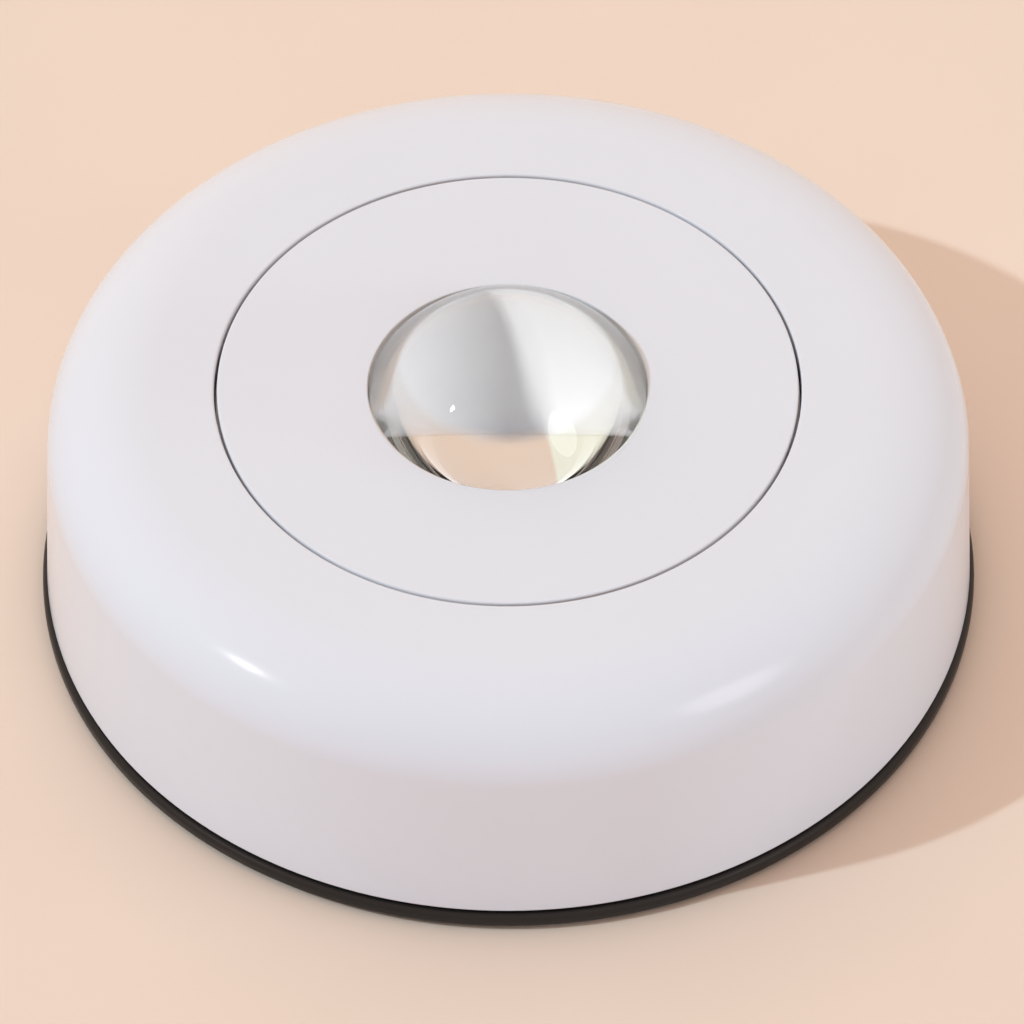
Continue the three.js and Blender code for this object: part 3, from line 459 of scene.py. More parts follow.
def combine(piece, tools, operation):
    """The piece with closed bodies joined to it or cut from it. The tools are used up."""
    for tool in tools:
        step = piece.modifiers.new("combine", "BOOLEAN")
        step.solver = "MANIFOLD"
        step.operation = operation
        step.object = tool
        graph = bpy.context.evaluated_depsgraph_get()
        mesh = bpy.data.meshes.new_from_object(piece.evaluated_get(graph))
        piece.modifiers.clear()
        spent = [piece.data, tool.data]
        piece.data = mesh
        bpy.data.objects.remove(tool)
        for old in spent:
            bpy.data.meshes.remove(old)
    shade(piece.data)
    return piece


def join(piece, *tools):
    return combine(piece, tools, "UNION")


def cut(piece, *tools):
    return combine(piece, tools, "DIFFERENCE")


def moved(piece, *steps):
    """The piece with its mesh moved by matrices, the first one first."""
    for step in steps:
        piece.data.transform(step)
    return piece


def turned(angle, axis):
    return Matrix.Rotation(math.radians(angle), MATRIX_ROWS, axis)


def shifted(x, y, z):
    return Matrix.Translation((x, y, z))


# Housing: the white moulded body

def housing_outline():
    """The outside and inside of the moulded body, from its inner foot round to its inner foot."""
    shoulder = (SHOULDER_TOP_RADIUS, SHOULDER_FOOT)
    inner_reach = (SHOULDER_REACH - WALL, SHOULDER_DROP - WALL)
    foot = (HOUSING_FOOT_RADIUS - FOOT_EDGE, HOUSING_FOOT + FOOT_EDGE)
    seam = (SEAM_OUTER_RADIUS + SEAM_EDGE, BODY_TOP - SEAM_EDGE)
    return [
        (INNER_FOOT_RADIUS, HOUSING_FOOT),
        *rounded(foot, FOOT_EDGE, DOWN, RIGHT),
        *arc(shoulder, (SHOULDER_REACH, SHOULDER_DROP), RIGHT, UP, SHOULDER_STEPS),
        *rounded(seam, SEAM_EDGE, UP, LEFT),
        (SEAM_OUTER_RADIUS, LIP_BOTTOM),
        (LIP_RADIUS, LIP_BOTTOM),
        (LIP_RADIUS, UNDERSIDE),
        *arc(shoulder, inner_reach, UP, RIGHT, SHOULDER_STEPS // 2),
    ]


def boss_web(angle):
    """A web that ties a screw boss to the outer wall."""
    reach = (SHOULDER_REACH - WALL / 2, SHOULDER_DROP - WALL / 2)
    shoulder = (SHOULDER_TOP_RADIUS, SHOULDER_FOOT)
    rim = arc(shoulder, reach, RIGHT, WEB_TOP_ANGLE, SHOULDER_STEPS // 2)
    inner = SCREW_CIRCLE + BOSS_RADIUS / 2
    foot = CUP_TOP + WEB_LIFT
    outline = [(inner, foot), (rim[0][0], foot), *rim, (inner, UNDERSIDE)]
    web = prism("web", outline, -WEB_THICKNESS / 2, WEB_THICKNESS / 2)
    return moved(web, turned(QUARTER_TURN, "X"), turned(angle, "Z"))


def housing_shell():
    shell = lathe("housing_shell", housing_outline())
    added = []
    holes = []
    foot, tip = CUP_TOP - OVERRUN, CUP_TOP + BOSS_PILOT_DEPTH
    for angle, place in zip(SCREW_ANGLES, SCREW_PLACES):
        added.append(post("boss", BOSS_RADIUS, CUP_TOP, UNDERSIDE + EMBED, place))
        added.append(boss_web(angle))
        holes.append(post("pilot", BOSS_PILOT_RADIUS, foot, tip, place))
    for angle in LUG_ANGLES:
        outer = INNER_FOOT_RADIUS + EMBED
        start, end = angle - LUG_HALF_ANGLE, angle + LUG_HALF_ANGLE
        top = LEDGE_BOTTOM + LEDGE_THICKNESS
        added.append(sector("ledge", LEDGE_RADIUS, outer, LEDGE_BOTTOM, top, start, end))
    return cut(join(shell, *added), *holes)


# Press disc, lens and cone

def disc_outline():
    """The disc, whose rim has a step close to the housing a little way down the seam."""
    rim = (SEAM_INNER_RADIUS - SEAM_EDGE, BODY_TOP - SEAM_EDGE)
    hole = (LENS_HOLE + LENS_EDGE, BODY_TOP - LENS_EDGE)
    step = SEAM_OUTER_RADIUS - RIM_STEP_GAP
    collar = LENS_FLANGE_RADIUS + SEAT_GAP
    return [
        (LENS_HOLE, UNDERSIDE),
        *rounded(hole, LENS_EDGE, LEFT, UP),
        *rounded(rim, SEAM_EDGE, UP, RIGHT),
        (SEAM_INNER_RADIUS, BODY_TOP - RIM_STEP_DEPTH),
        (step, BODY_TOP - RIM_STEP_DEPTH),
        (step, FLANGE_TOP),
        (FLANGE_RADIUS, FLANGE_TOP),
        (FLANGE_RADIUS, FLANGE_BOTTOM),
        (SKIRT_BORE, FLANGE_BOTTOM),
        (SKIRT_BORE, UNDERSIDE),
        (collar + LENS_COLLAR_WALL, UNDERSIDE),
        (collar + LENS_COLLAR_WALL, LENS_COLLAR_BOTTOM),
        (collar, LENS_COLLAR_BOTTOM),
        (collar, UNDERSIDE),
    ]


def press_disc():
    disc = lathe("press_disc_cap", disc_outline())
    added = [post("stem", STEM_RADIUS, STEM_BOTTOM, UNDERSIDE + EMBED, (SWITCH_PLACE, 0))]
    for place in SPRING_PLACES:
        added.append(post("pin", PIN_RADIUS, UNDERSIDE - PIN_LENGTH, UNDERSIDE + EMBED, place))
    return join(disc, *added)


def lens_sag(radius):
    """How far the lens's surface lies below its crown at a radius."""
    slope = radius / LENS_CURVE_RADIUS
    return radius * slope / (1 + math.sqrt(1 - LENS_BALL_SHARE * slope ** 2))


def lens_dome():
    crown = LENS_RIM + lens_sag(LENS_RADIUS)
    outline = [
        (0, LENS_BOTTOM),
        (LENS_LIP_RADIUS, LENS_BOTTOM),
        (LENS_LIP_RADIUS, UNDERSIDE - FILM),
        (LENS_RADIUS, UNDERSIDE - FILM),
    ]
    for i in range(LENS_STEPS + 1):
        radius = LENS_RADIUS * (1 - i / LENS_STEPS)
        outline.append((radius, crown - lens_sag(radius)))
    return lathe("lens_dome", outline)


def reflector_cone():
    """The bright bowl under the lens, with a thin sleeve up round the lens's rim."""
    bowl = LENS_LIP_RADIUS - CONE_RIM
    sleeve = LENS_FLANGE_RADIUS + SEAT_GAP - FILM
    outline = [
        (sleeve, UNDERSIDE - FILM),
        (LENS_LIP_RADIUS + FILM, UNDERSIDE - FILM),
        (LENS_LIP_RADIUS + FILM, LENS_BOTTOM - FILM),
        (bowl, LENS_BOTTOM - FILM),
        (CONE_MOUTH_RADIUS, LENS_BOTTOM - CONE_DROP),
        (CONE_MOUTH_RADIUS, LENS_BOTTOM - CONE_DROP - CONE_WALL),
        (bowl, LENS_BOTTOM - CONE_WALL),
        (sleeve, LENS_BOTTOM - CONE_WALL),
    ]
    return lathe("reflector_cone", outline)


# Base and pad

def foam_pad():
    side = rounded_side(PAD_RADIUS, 0, PAD_THICKNESS, PAD_EDGE)
    return lathe("foam_pad", [(0, 0), *side, (0, PAD_THICKNESS)])


def base_screw_hole(side):
    """A screw hole with its countersink on the upper side."""
    outline = [
        (0, -OVERRUN),
        (BASE_SCREW_RADIUS, -OVERRUN),
        (BASE_SCREW_RADIUS, BASE_TOP - BASE_SINK_DEPTH),
        (BASE_SINK_RADIUS, BASE_TOP),
        (BASE_SINK_RADIUS, BASE_TOP + OVERRUN),
        (0, BASE_TOP + OVERRUN),
    ]
    return lathe("screw_hole", outline, SMALL_SEGMENTS, (side * BASE_SCREW_CIRCLE, 0))


def base_lug(angle):
    """One lug of the twist lock, with the rib that the housing's ledge stops on."""
    start = angle - LUG_HALF_ANGLE - STOP_CLEAR_ANGLE
    root = COLLAR_RADIUS - EMBED
    end = angle + LUG_HALF_ANGLE
    lug = sector("lug", root, LUG_RADIUS, LUG_BOTTOM, LUG_TOP, start - STOP_ANGLE, end)
    stop = sector("stop", root, LUG_RADIUS, BASE_TOP - EMBED, LUG_TOP, start - STOP_ANGLE, start)
    return [lug, stop]


def twist_base():
    outline = [
        (0, PAD_PROUD),
        *rounded_side(BODY_RADIUS, PAD_PROUD, BASE_TOP, BASE_EDGE),
        (COLLAR_RADIUS, BASE_TOP),
        (COLLAR_RADIUS, LUG_TOP),
        (COLLAR_BORE, LUG_TOP),
        (COLLAR_BORE, BASE_TOP),
        (0, BASE_TOP),
    ]
    lugs = [piece for angle in LUG_ANGLES for piece in base_lug(angle)]
    bore = PAD_RADIUS + PAD_CLEARANCE
    recess = post("recess", bore, -OVERRUN, PAD_THICKNESS, (0, 0), ROUND_SEGMENTS)
    body = join(lathe("twist_base", outline), *lugs)
    return cut(body, recess, base_screw_hole(1), base_screw_hole(-1))


# Back plate with the battery bay

def trough(place):
    """The space for one cell: round above, open below."""
    low = (place - TROUGH_RADIUS, PLATE_BOTTOM - OVERRUN)
    high = (place + TROUGH_RADIUS, PLATE_BOTTOM - OVERRUN)
    reach = (TROUGH_RADIUS, TROUGH_RADIUS)
    crown = arc((place, CELL_AXIS), reach, RIGHT, LEFT, SMALL_SEGMENTS)
    half = BAY_HALF_LENGTH - BAY_POCKET
    return moved(prism("trough", [low, high, *crown], -half, half), turned(QUARTER_TURN, "X"))


def bay_spaces():
    """What is cut from the bay: the troughs, the space over the ridges and the contact pockets."""
    end = BAY_HALF_LENGTH
    foot = PLATE_BOTTOM - OVERRUN
    ridge = CELL_AXIS + BAY_RIDGE_LIFT
    spaces = [trough(-CELL_SPACING), trough(0), trough(CELL_SPACING)]
    spaces.append(block("ridge_space", (-BAY_HALF_WIDTH, -end, foot), (BAY_HALF_WIDTH, end, ridge)))
    half = CELL_SPACING + CONTACT_WIDTH / 2 + SEAT_GAP
    pocket = end - BAY_POCKET - EMBED
    for start, stop in ((-end, -pocket), (pocket, end)):
        spaces.append(block("pocket", (-half, start, foot), (half, stop, BAY_CEILING)))
    return spaces


def bay_block():
    half = (BAY_HALF_WIDTH + BAY_WALL - BAY_CORNER, BAY_HALF_LENGTH + BAY_WALL - BAY_CORNER)
    points = []
    for i, (x, y) in enumerate(((1, 1), (-1, 1), (-1, -1), (1, -1))):
        centre = (x * half[0], y * half[1])
        points += rounded(centre, BAY_CORNER, QUARTER_TURN * i, QUARTER_TURN * (i + 1))
    return prism("bay_block", points, PLATE_BOTTOM, ROOF_TOP)


def tab_slot(side):
    half = TAB_WIDTH / 2 + SLOT_CLEARANCE
    near, far = sorted((side * (CONTACT_FACE - SLOT_CLEARANCE), side * BAY_HALF_LENGTH))
    place = side * CELL_SPACING
    low = (place - half, near, BAY_CEILING - EMBED)
    return block("tab_slot", low, (place + half, far, ROOF_TOP + OVERRUN))


def gusset(side_x, side_y):
    inner = BAY_HALF_WIDTH + BAY_WALL / 2
    outer = SCREW_CIRCLE - GUSSET_INSET
    near, far = sorted((side_x * inner, side_x * outer))
    middle = side_y * GUSSET_PLACE
    half = GUSSET_THICKNESS / 2
    low = (near, middle - half, PLATE_TOP - EMBED)
    return block("gusset", low, (far, middle + half, PLATE_TOP + GUSSET_HEIGHT))


def back_plate():
    plate = post("chassis", PLATE_RADIUS, PLATE_BOTTOM, PLATE_TOP, (0, 0), ROUND_SEGMENTS)
    added = [bay_block()]
    holes = [*bay_spaces(), tab_slot(1), tab_slot(-1)]
    for place in SCREW_PLACES:
        added.append(post("cup", CUP_RADIUS, PLATE_BOTTOM, CUP_TOP, place))
        holes.append(post("cup_bore", CUP_BORE_RADIUS, PLATE_BOTTOM - OVERRUN, CUP_SEAT, place))
        holes.append(post("cup_hole", CUP_HOLE_RADIUS, CUP_SEAT - OVERRUN, CUP_TOP + OVERRUN, place))
    for side, place in zip((1, -1), BOARD_SCREW_PLACES):
        added.append(post("standoff", STANDOFF_RADIUS, ROOF_TOP - EMBED, BOARD_BOTTOM, place))
        holes.append(post("pilot", BOARD_SCREW_HOLE_RADIUS, PILOT_FOOT, BOARD_BOTTOM + OVERRUN, place))
        added += [gusset(1, side), gusset(-1, side)]
    for place in SPRING_PLACES:
        added.append(post("pin", PIN_RADIUS, ROOF_TOP - EMBED, ROOF_TOP + PIN_LENGTH, place))
    return cut(join(plate, *added), *holes)


# Board and what it carries

def board():
    flat = math.degrees(math.asin(BOARD_FLAT / BOARD_RADIUS))
    reach = (BOARD_RADIUS, BOARD_RADIUS)
    steps = SMALL_SEGMENTS
    right = arc((0, 0), reach, -flat, flat, steps)
    left = arc((0, 0), reach, LEFT - flat, LEFT + flat, steps)
    foot, top = BOARD_BOTTOM - OVERRUN, BOARD_TOP + OVERRUN
    holes = []
    for place in BOARD_SCREW_PLACES:
        holes.append(post("screw_hole", BOARD_SCREW_HOLE_RADIUS, foot, top, place))
    for place in SPRING_PLACES:
        holes.append(post("notch", BOARD_NOTCH_RADIUS, foot, top, place))
    return cut(prism("round_board", right + left, BOARD_BOTTOM, BOARD_TOP), *holes)


def led_body():
    """The light source's square body, with a shallow well round the phosphor."""
    low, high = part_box("led_package")
    body = block("led_body", low, high, PART_EDGE)
    well = post("well", LED_WELL_RADIUS + FILM, high[2] - LED_WELL_DEPTH, high[2] + OVERRUN, (0, 0))
    return cut(body, well)


def low_dome(name, radius, foot, rim, top):
    """A round foot with a dome on it, from the height of its rim to that of its top."""
    crown = arc((0, rim), (radius, top - rim), RIGHT, UP, EDGE_STEPS * 2)
    return lathe(name, [(0, foot), (radius, foot), *crown[:-1], (0, top)], SMALL_SEGMENTS)


def led_dome():
    """The phosphor, a low dome of soft resin that fills the well."""
    low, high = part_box("led_phosphor")
    rim = low[2] + (high[2] - low[2]) * PHOSPHOR_RIM_SHARE
    return low_dome("led_dome", LED_WELL_RADIUS, low[2] - LED_WELL_DEPTH + FILM, rim, high[2])


def chip_resistor():
    """A chip with a metal cap over each end."""
    low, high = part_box("resistor")
    inset = RESISTOR_CAP_PROUD
    chip_low = (low[0] + inset, low[1] + inset, low[2])
    body = block("chip", chip_low, (high[0] - inset, high[1] - inset, high[2] - inset))
    caps = [
        block("cap", low, (high[0], low[1] + RESISTOR_CAP, high[2]), RESISTOR_CAP_PROUD),
        block("cap", (low[0], high[1] - RESISTOR_CAP, low[2]), high, RESISTOR_CAP_PROUD),
    ]
    return join(body, *caps)


def switch_box():
    """The switch's body with its four feet and a round bore for the plunger."""
    low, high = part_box("switch_body")
    body = block("switch_box", low, high, PART_EDGE)
    bore = PLUNGER_RADIUS + RUN_GAP
    place = (SWITCH_PLACE, 0)
    added = []
    for side_x in (1, -1):
        for side_y in (1, -1):
            x = SWITCH_PLACE + side_x * LEG_PLACE
            near, far = sorted((side_y * (high[1] - EMBED), side_y * (high[1] + LEG_REACH)))
            foot = (x - LEG_WIDTH / 2, near, low[2])
            added.append(block("leg", foot, (x + LEG_WIDTH / 2, far, low[2] + LEG_HEIGHT)))
    return cut(join(body, *added), post("bore", bore, low[2] + SWITCH_FLOOR, high[2] + OVERRUN, place))


def plunger():
    low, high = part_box("switch_plunger")
    edge = PART_EDGE
    outline = [
        (0, low[2]),
        (PLUNGER_RADIUS, low[2]),
        *rounded((PLUNGER_RADIUS - edge, high[2] - edge), edge, RIGHT, UP),
        (0, high[2]),
    ]
    return lathe("plunger", outline, SMALL_SEGMENTS, (SWITCH_PLACE, 0))


# Screws, cells, contacts, springs and wires

def screw(name, head, shank_radius, length):
    """A pan-head screw with its head down and its shank up from height zero."""
    head_radius, head_height = head
    root = shank_radius - THREAD_DEPTH
    dome = (head_radius / 2, head_height / 2)
    middle = (head_radius / 2, -head_height / 2)
    outline = [(0, -head_height), *arc(middle, dome, DOWN, RIGHT, EDGE_STEPS)]
    outline += [(head_radius, 0), (root, 0)]
    for i in range(int((length - SCREW_TIP) / THREAD_PITCH)):
        outline.append((shank_radius, (i + 1 / 2) * THREAD_PITCH))
        outline.append((root, (i + 1) * THREAD_PITCH))
    outline += [(shank_radius / 2, length), (0, length)]
    piece = lathe(name, outline, SMALL_SEGMENTS)
    reach, half = head_radius / 2, SCREW_SLOT_WIDTH / 2
    foot, top = -head_height - OVERRUN, -head_height + SCREW_SLOT_DEPTH
    slots = [
        block("slot", (-reach, -half, foot), (reach, half, top)),
        block("slot", (-half, -reach, foot), (half, reach, top)),
    ]
    return cut(piece, *slots)


def body_screw(index, place):
    head = (BODY_SCREW_HEAD_RADIUS, BODY_SCREW_HEAD_HEIGHT)
    piece = screw(f"chassis_screw_{index}", head, BODY_SCREW_SHANK, BODY_SCREW_LENGTH)
    return moved(piece, shifted(*place, CUP_SEAT))


def board_screw(index, place):
    head = (BOARD_SCREW_HEAD_RADIUS, BOARD_SCREW_HEAD_HEIGHT)
    piece = screw(f"pcb_screw_{index}", head, BOARD_SCREW_SHANK, BOARD_SCREW_LENGTH)
    return moved(piece, turned(HALF_TURN, "X"), shifted(*place, BOARD_TOP))


def slim_cell(index, facing):
    """A cell along Y, with a rolled groove near its raised end. Facing is 1 where that end is at +Y."""
    low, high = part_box(f"cell_{index}")
    length = high[1] - low[1]
    can = length - CELL_NUB_LENGTH
    groove = can - CELL_GROOVE_PLACE
    shoulder = CELL_RADIUS - CELL_SHOULDER
    nub = (CELL_NUB_RADIUS - CELL_NUB_EDGE, length - CELL_NUB_EDGE)
    outline = [
        (0, 0),
        *rounded((CELL_RADIUS - CELL_EDGE, CELL_EDGE), CELL_EDGE, DOWN, RIGHT),
        (CELL_RADIUS, groove - 2 * CELL_GROOVE_DEPTH),
        (CELL_RADIUS - CELL_GROOVE_DEPTH, groove),
        (CELL_RADIUS, groove + 2 * CELL_GROOVE_DEPTH),
        *rounded((CELL_RADIUS - CELL_EDGE, can - CELL_EDGE), CELL_EDGE, RIGHT, UP),
        (shoulder, can),
        (shoulder, can - CELL_GROOVE_DEPTH),
        (CELL_NUB_RADIUS, can - CELL_GROOVE_DEPTH),
        *rounded(nub, CELL_NUB_EDGE, RIGHT, UP),
        (0, length),
    ]
    piece = lathe(f"slim_cell_{index}", outline, SMALL_SEGMENTS * 2)
    middle = shifted((low[0] + high[0]) / 2, (low[1] + high[1]) / 2, CELL_AXIS)
    return moved(piece, shifted(0, 0, -length / 2), turned(-QUARTER_TURN * facing, "X"), middle)


def coil(name, radii, length, turns, wire, end_turns):
    """A coil spring that stands on the XY plane, with its ends wound close."""
    flat = wire * COIL_END_PITCH_SHARE
    open_pitch = (length - wire - 2 * end_turns * flat) / (turns - 2 * end_turns)
    points = []
    count = round(turns * COIL_STEPS)
    for i in range(count + 1):
        turn = turns * i / count
        radius = radii[0] + (radii[1] - radii[0]) * i / count
        x, y = on_circle(radius, FULL_TURN * turn)
        middle = min(max(turn - end_turns, 0), turns - 2 * end_turns)
        points.append((x, y, wire / 2 + middle * open_pitch + (turn - middle) * flat))
    return tube(name, points, wire / 2)


def return_spring(index, place):
    length = UNDERSIDE - ROOF_TOP - 2 * SPRING_SEAT_GAP
    radii = (RETURN_SPRING_RADIUS, RETURN_SPRING_RADIUS)
    name = f"lift_spring_{index}"
    piece = coil(name, radii, length, RETURN_SPRING_TURNS, RETURN_SPRING_WIRE, RETURN_SPRING_END_TURNS)
    return moved(piece, shifted(*place, ROOF_TOP + SPRING_SEAT_GAP))


def cell_spring(index, place, facing):
    length = CELL_SPRING_SPACE - 2 * SPRING_SEAT_GAP
    radii = (CELL_SPRING_WIDE, CELL_SPRING_NARROW)
    name = f"contact_spring_{index}"
    piece = coil(name, radii, length, CELL_SPRING_TURNS, CELL_SPRING_WIRE, CELL_SPRING_END_TURNS)
    start = shifted(place, -facing * (CONTACT_FACE - SPRING_SEAT_GAP), CELL_AXIS)
    return moved(piece, turned(-QUARTER_TURN * facing, "X"), start)


def contact(name, places, end, dimple_place, tab_side):
    """A plate over the cells between two places, with a dimple and a solder tab where they are given."""
    half = CONTACT_WIDTH / 2
    near, far = sorted((end * CONTACT_FACE, end * BAY_HALF_LENGTH))
    low = (places[0] - half, near, CONTACT_BOTTOM)
    plate = block(name, low, (places[1] + half, far, CONTACT_TOP), CONTACT_EDGE)
    added = []
    if dimple_place is not None:
        dimple = low_dome("dimple", DIMPLE_RADIUS, -CONTACT_THICKNESS / 2, 0, DIMPLE_HEIGHT)
        place = shifted(dimple_place, end * CONTACT_FACE, CELL_AXIS)
        added.append(moved(dimple, turned(QUARTER_TURN * end, "X"), place))
    if tab_side is not None:
        middle = tab_side * CELL_SPACING
        foot = (middle - TAB_WIDTH / 2, near, CONTACT_TOP - EMBED)
        added.append(block("tab", foot, (middle + TAB_WIDTH / 2, far, TAB_TOP)))
    return join(plate, *added)


def smooth_line(points, steps):
    """A smooth line through points by the Catmull-Rom formula, in steps from each to the next."""
    path = [Vector(point) for point in points]
    ends = [2 * path[0] - path[1], *path, 2 * path[-1] - path[-2]]
    line = []
    for i in range(len(path) - 1):
        before, here, there, after = ends[i:i + 4]
        for k in range(steps):
            t = k / steps
            bend = (2 * before - 5 * here + 4 * there - after) * t ** 2
            twist = (3 * here - before - 3 * there + after) * t ** 3
            line.append((2 * here + (there - before) * t + bend + twist) / 2)
    return [*line, path[-1]]


def lead(name, side):
    """A lead from a tab, over the roof, up past the board's flat edge and down on the board."""
    low = ROOF_TOP + SEAT_GAP + LEAD_RADIUS
    edge = BOARD_FLAT + LEAD_EDGE_GAP + LEAD_RADIUS
    start = CONTACT_FACE - SEAT_GAP
    crest = BOARD_TOP + LEAD_ARCH
    landing = BOARD_FLAT - LEAD_EDGE_GAP - LEAD_RADIUS
    route = [
        (CELL_SPACING, start, low),
        ((CELL_SPACING + LEAD_RISE_X) / 2, (start + edge) / 2, low),
        (LEAD_RISE_X, edge + LEAD_RADIUS, low + LEAD_RADIUS),
        (LEAD_RISE_X, edge, BOARD_TOP),
        (LEAD_RISE_X, BOARD_FLAT, crest),
        (LEAD_RISE_X, landing + LEAD_RADIUS, crest - LEAD_RADIUS / 2),
        (LEAD_RISE_X, landing, BOARD_TOP + SEAT_GAP),
    ]
    points = [(side * x, side * y, z) for x, y, z in route]
    return tube(name, smooth_line(points, LEAD_STEPS), LEAD_RADIUS)


# Materials. Scales are in marks to a metre, and colours in display values.
NOISE_DETAIL = 3
TINT_SHARES = (0.3, 0.7)
FINE_GRAIN = 0.01 * MM
ROUGH_GRAIN = 0.02 * MM
GRAIN_STRENGTH = 0.2
PLASTIC_DRIFT_SCALE = 60
PLASTIC_GLOSS_SCALE = 220
PLASTIC_IOR = 1.5
CONE_METAL_SHARE = 0.4
BASE_SHINE = 0.36
METAL_DRIFT_SCALE = 300
METAL_GLOSS_SCALE = 900
METAL_GRAIN = 0.004 * MM
FOAM_PORE_SCALE = 2200
FOAM_PORE_DEPTH = 0.1 * MM
FOAM_PORE_STRENGTH = 0.6
FOAM_GLOSS_SCALE = 500
LENS_DRIFT_SCALE = 40
LENS_IOR = 1.475
WEAVE_SCALE = 900
WEAVE_STRENGTH = 0.3
BOARD_DRIFT_SCALE = 120
BOARD_GLOSS_SCALE = 400
# Shares of a cell's length at which its jacket starts, its band starts and its jacket ends
JACKET_FOOT_SHARE = 0.012
JACKET_BAND_SHARE = 0.72
JACKET_TOP_SHARE = 0.965
JACKET_METAL_SHARE = 0.4
JACKET_GLOSS_SCALE = 300
JACKET_GRAIN_SCALE = 1500
JACKET_GRAIN_STRENGTH = 0.1
JACKET_COLOUR = (34, 40, 52)
BAND_COLOUR = (176, 134, 84)
CELL_METAL_COLOUR = (196, 196, 192)

finishes = {}


def node_material(name):
    """The node tree and shader of a new material, which is kept under its name."""
    material = bpy.data.materials.new(name.replace("_", " "))
    material.use_nodes = True
    finishes[name] = material
    return material.node_tree, material.node_tree.nodes["Principled BSDF"]


def put(node, name, value):
    """Puts a number, a colour or another node's output on a node's input."""
    socket = node.inputs[name]
    if isinstance(value, bpy.types.NodeSocket):
        node.id_data.links.new(value, socket)
    else:
        socket.default_value = value


def computed(tree, kind, output, *values, operation=None):
    """An output of a new node, with values or other outputs on its first inputs in turn."""
    node = tree.nodes.new(f"ShaderNode{kind}")
    if operation:
        node.operation = operation
    for i, value in enumerate(values):
        put(node, i, value)
    return node.outputs[output]


def maths(tree, operation, *values):
    return computed(tree, "Math", 0, *values, operation=operation)


def vector_maths(tree, operation, output, *values):
    return computed(tree, "VectorMath", output, *values, operation=operation)


def texture(tree, kind, scale):
    """A texture in the piece's own coordinates, in metres."""
    node = tree.nodes.new(f"ShaderNodeTex{kind}")
    put(node, "Scale", scale)
    put(node, "Vector", computed(tree, "TexCoord", "Object"))
    return node


def noise(tree, scale):
    node = texture(tree, "Noise", scale)
    put(node, "Detail", NOISE_DETAIL)
    return node.outputs["Fac"]


def vary(tree, source, shader, name, low, high):
    """Lets a texture move a shader's number between two values."""
    put(shader, name, computed(tree, "MapRange", 0, source, 0, 1, low, high))


def roughen(tree, scale, shader, gloss):
    vary(tree, noise(tree, scale), shader, "Roughness", *gloss)


def tint(tree, source, shader, *colours):
    """Lets a texture move a shader's colour between two colours."""
    ramp = tree.nodes.new("ShaderNodeValToRGB")
    for stop, share, colour in zip(ramp.color_ramp.elements, TINT_SHARES, colours):
        stop.color = linear(*colour)
        stop.position = share
    put(ramp, "Fac", source)
    put(shader, "Base Color", ramp.outputs["Color"])


def bump(tree, source, shader, depth, strength):
    """Lets a texture raise the surface by a depth in metres."""
    relief = tree.nodes.new("ShaderNodeBump")
    put(relief, "Strength", strength)
    put(relief, "Distance", depth)
    put(relief, "Height", source)
    put(shader, "Normal", relief.outputs["Normal"])


def plastic(name, low, high, gloss, grain, depth=FINE_GRAIN, strength=GRAIN_STRENGTH):
    """Moulded plastic: a faint drift of colour, uneven gloss and a fine grain."""
    tree, shader = node_material(name)
    tint(tree, noise(tree, PLASTIC_DRIFT_SCALE), shader, low, high)
    roughen(tree, PLASTIC_GLOSS_SCALE, shader, gloss)
    bump(tree, noise(tree, grain), shader, depth, strength)
    put(shader, "IOR", PLASTIC_IOR)
    return shader


def metal(name, low, high, gloss, grain):
    """Plated or plain sheet metal: uneven gloss over a fine rolled grain."""
    tree, shader = node_material(name)
    tint(tree, noise(tree, METAL_DRIFT_SCALE), shader, low, high)
    roughen(tree, METAL_GLOSS_SCALE, shader, gloss)
    bump(tree, noise(tree, grain), shader, METAL_GRAIN, GRAIN_STRENGTH)
    put(shader, "Metallic", 1)


def foam(name, pore, skin, gloss):
    """Closed-cell foam: a pale sheet with small pores."""
    tree, shader = node_material(name)
    pores = texture(tree, "Voronoi", FOAM_PORE_SCALE).outputs["Distance"]
    tint(tree, pores, shader, pore, skin)
    bump(tree, pores, shader, FOAM_PORE_DEPTH, FOAM_PORE_STRENGTH)
    roughen(tree, FOAM_GLOSS_SCALE, shader, gloss)


def clear_plastic(name, low, high):
    """Polished clear plastic. It is as smooth as glass, so that it shows crisp reflections."""
    tree, shader = node_material(name)
    tint(tree, noise(tree, LENS_DRIFT_SCALE), shader, low, high)
    put(shader, "Transmission Weight", 1)
    put(shader, "Roughness", 0)
    put(shader, "IOR", LENS_IOR)


def laminate(name, low, high, gloss):
    """A coated circuit board: a pale lacquer over a fine weave."""
    tree, shader = node_material(name)
    weave = texture(tree, "Brick", WEAVE_SCALE)
    bump(tree, weave.outputs["Fac"], shader, METAL_GRAIN, WEAVE_STRENGTH)
    tint(tree, noise(tree, BOARD_DRIFT_SCALE), shader, low, high)
    roughen(tree, BOARD_GLOSS_SCALE, shader, gloss)


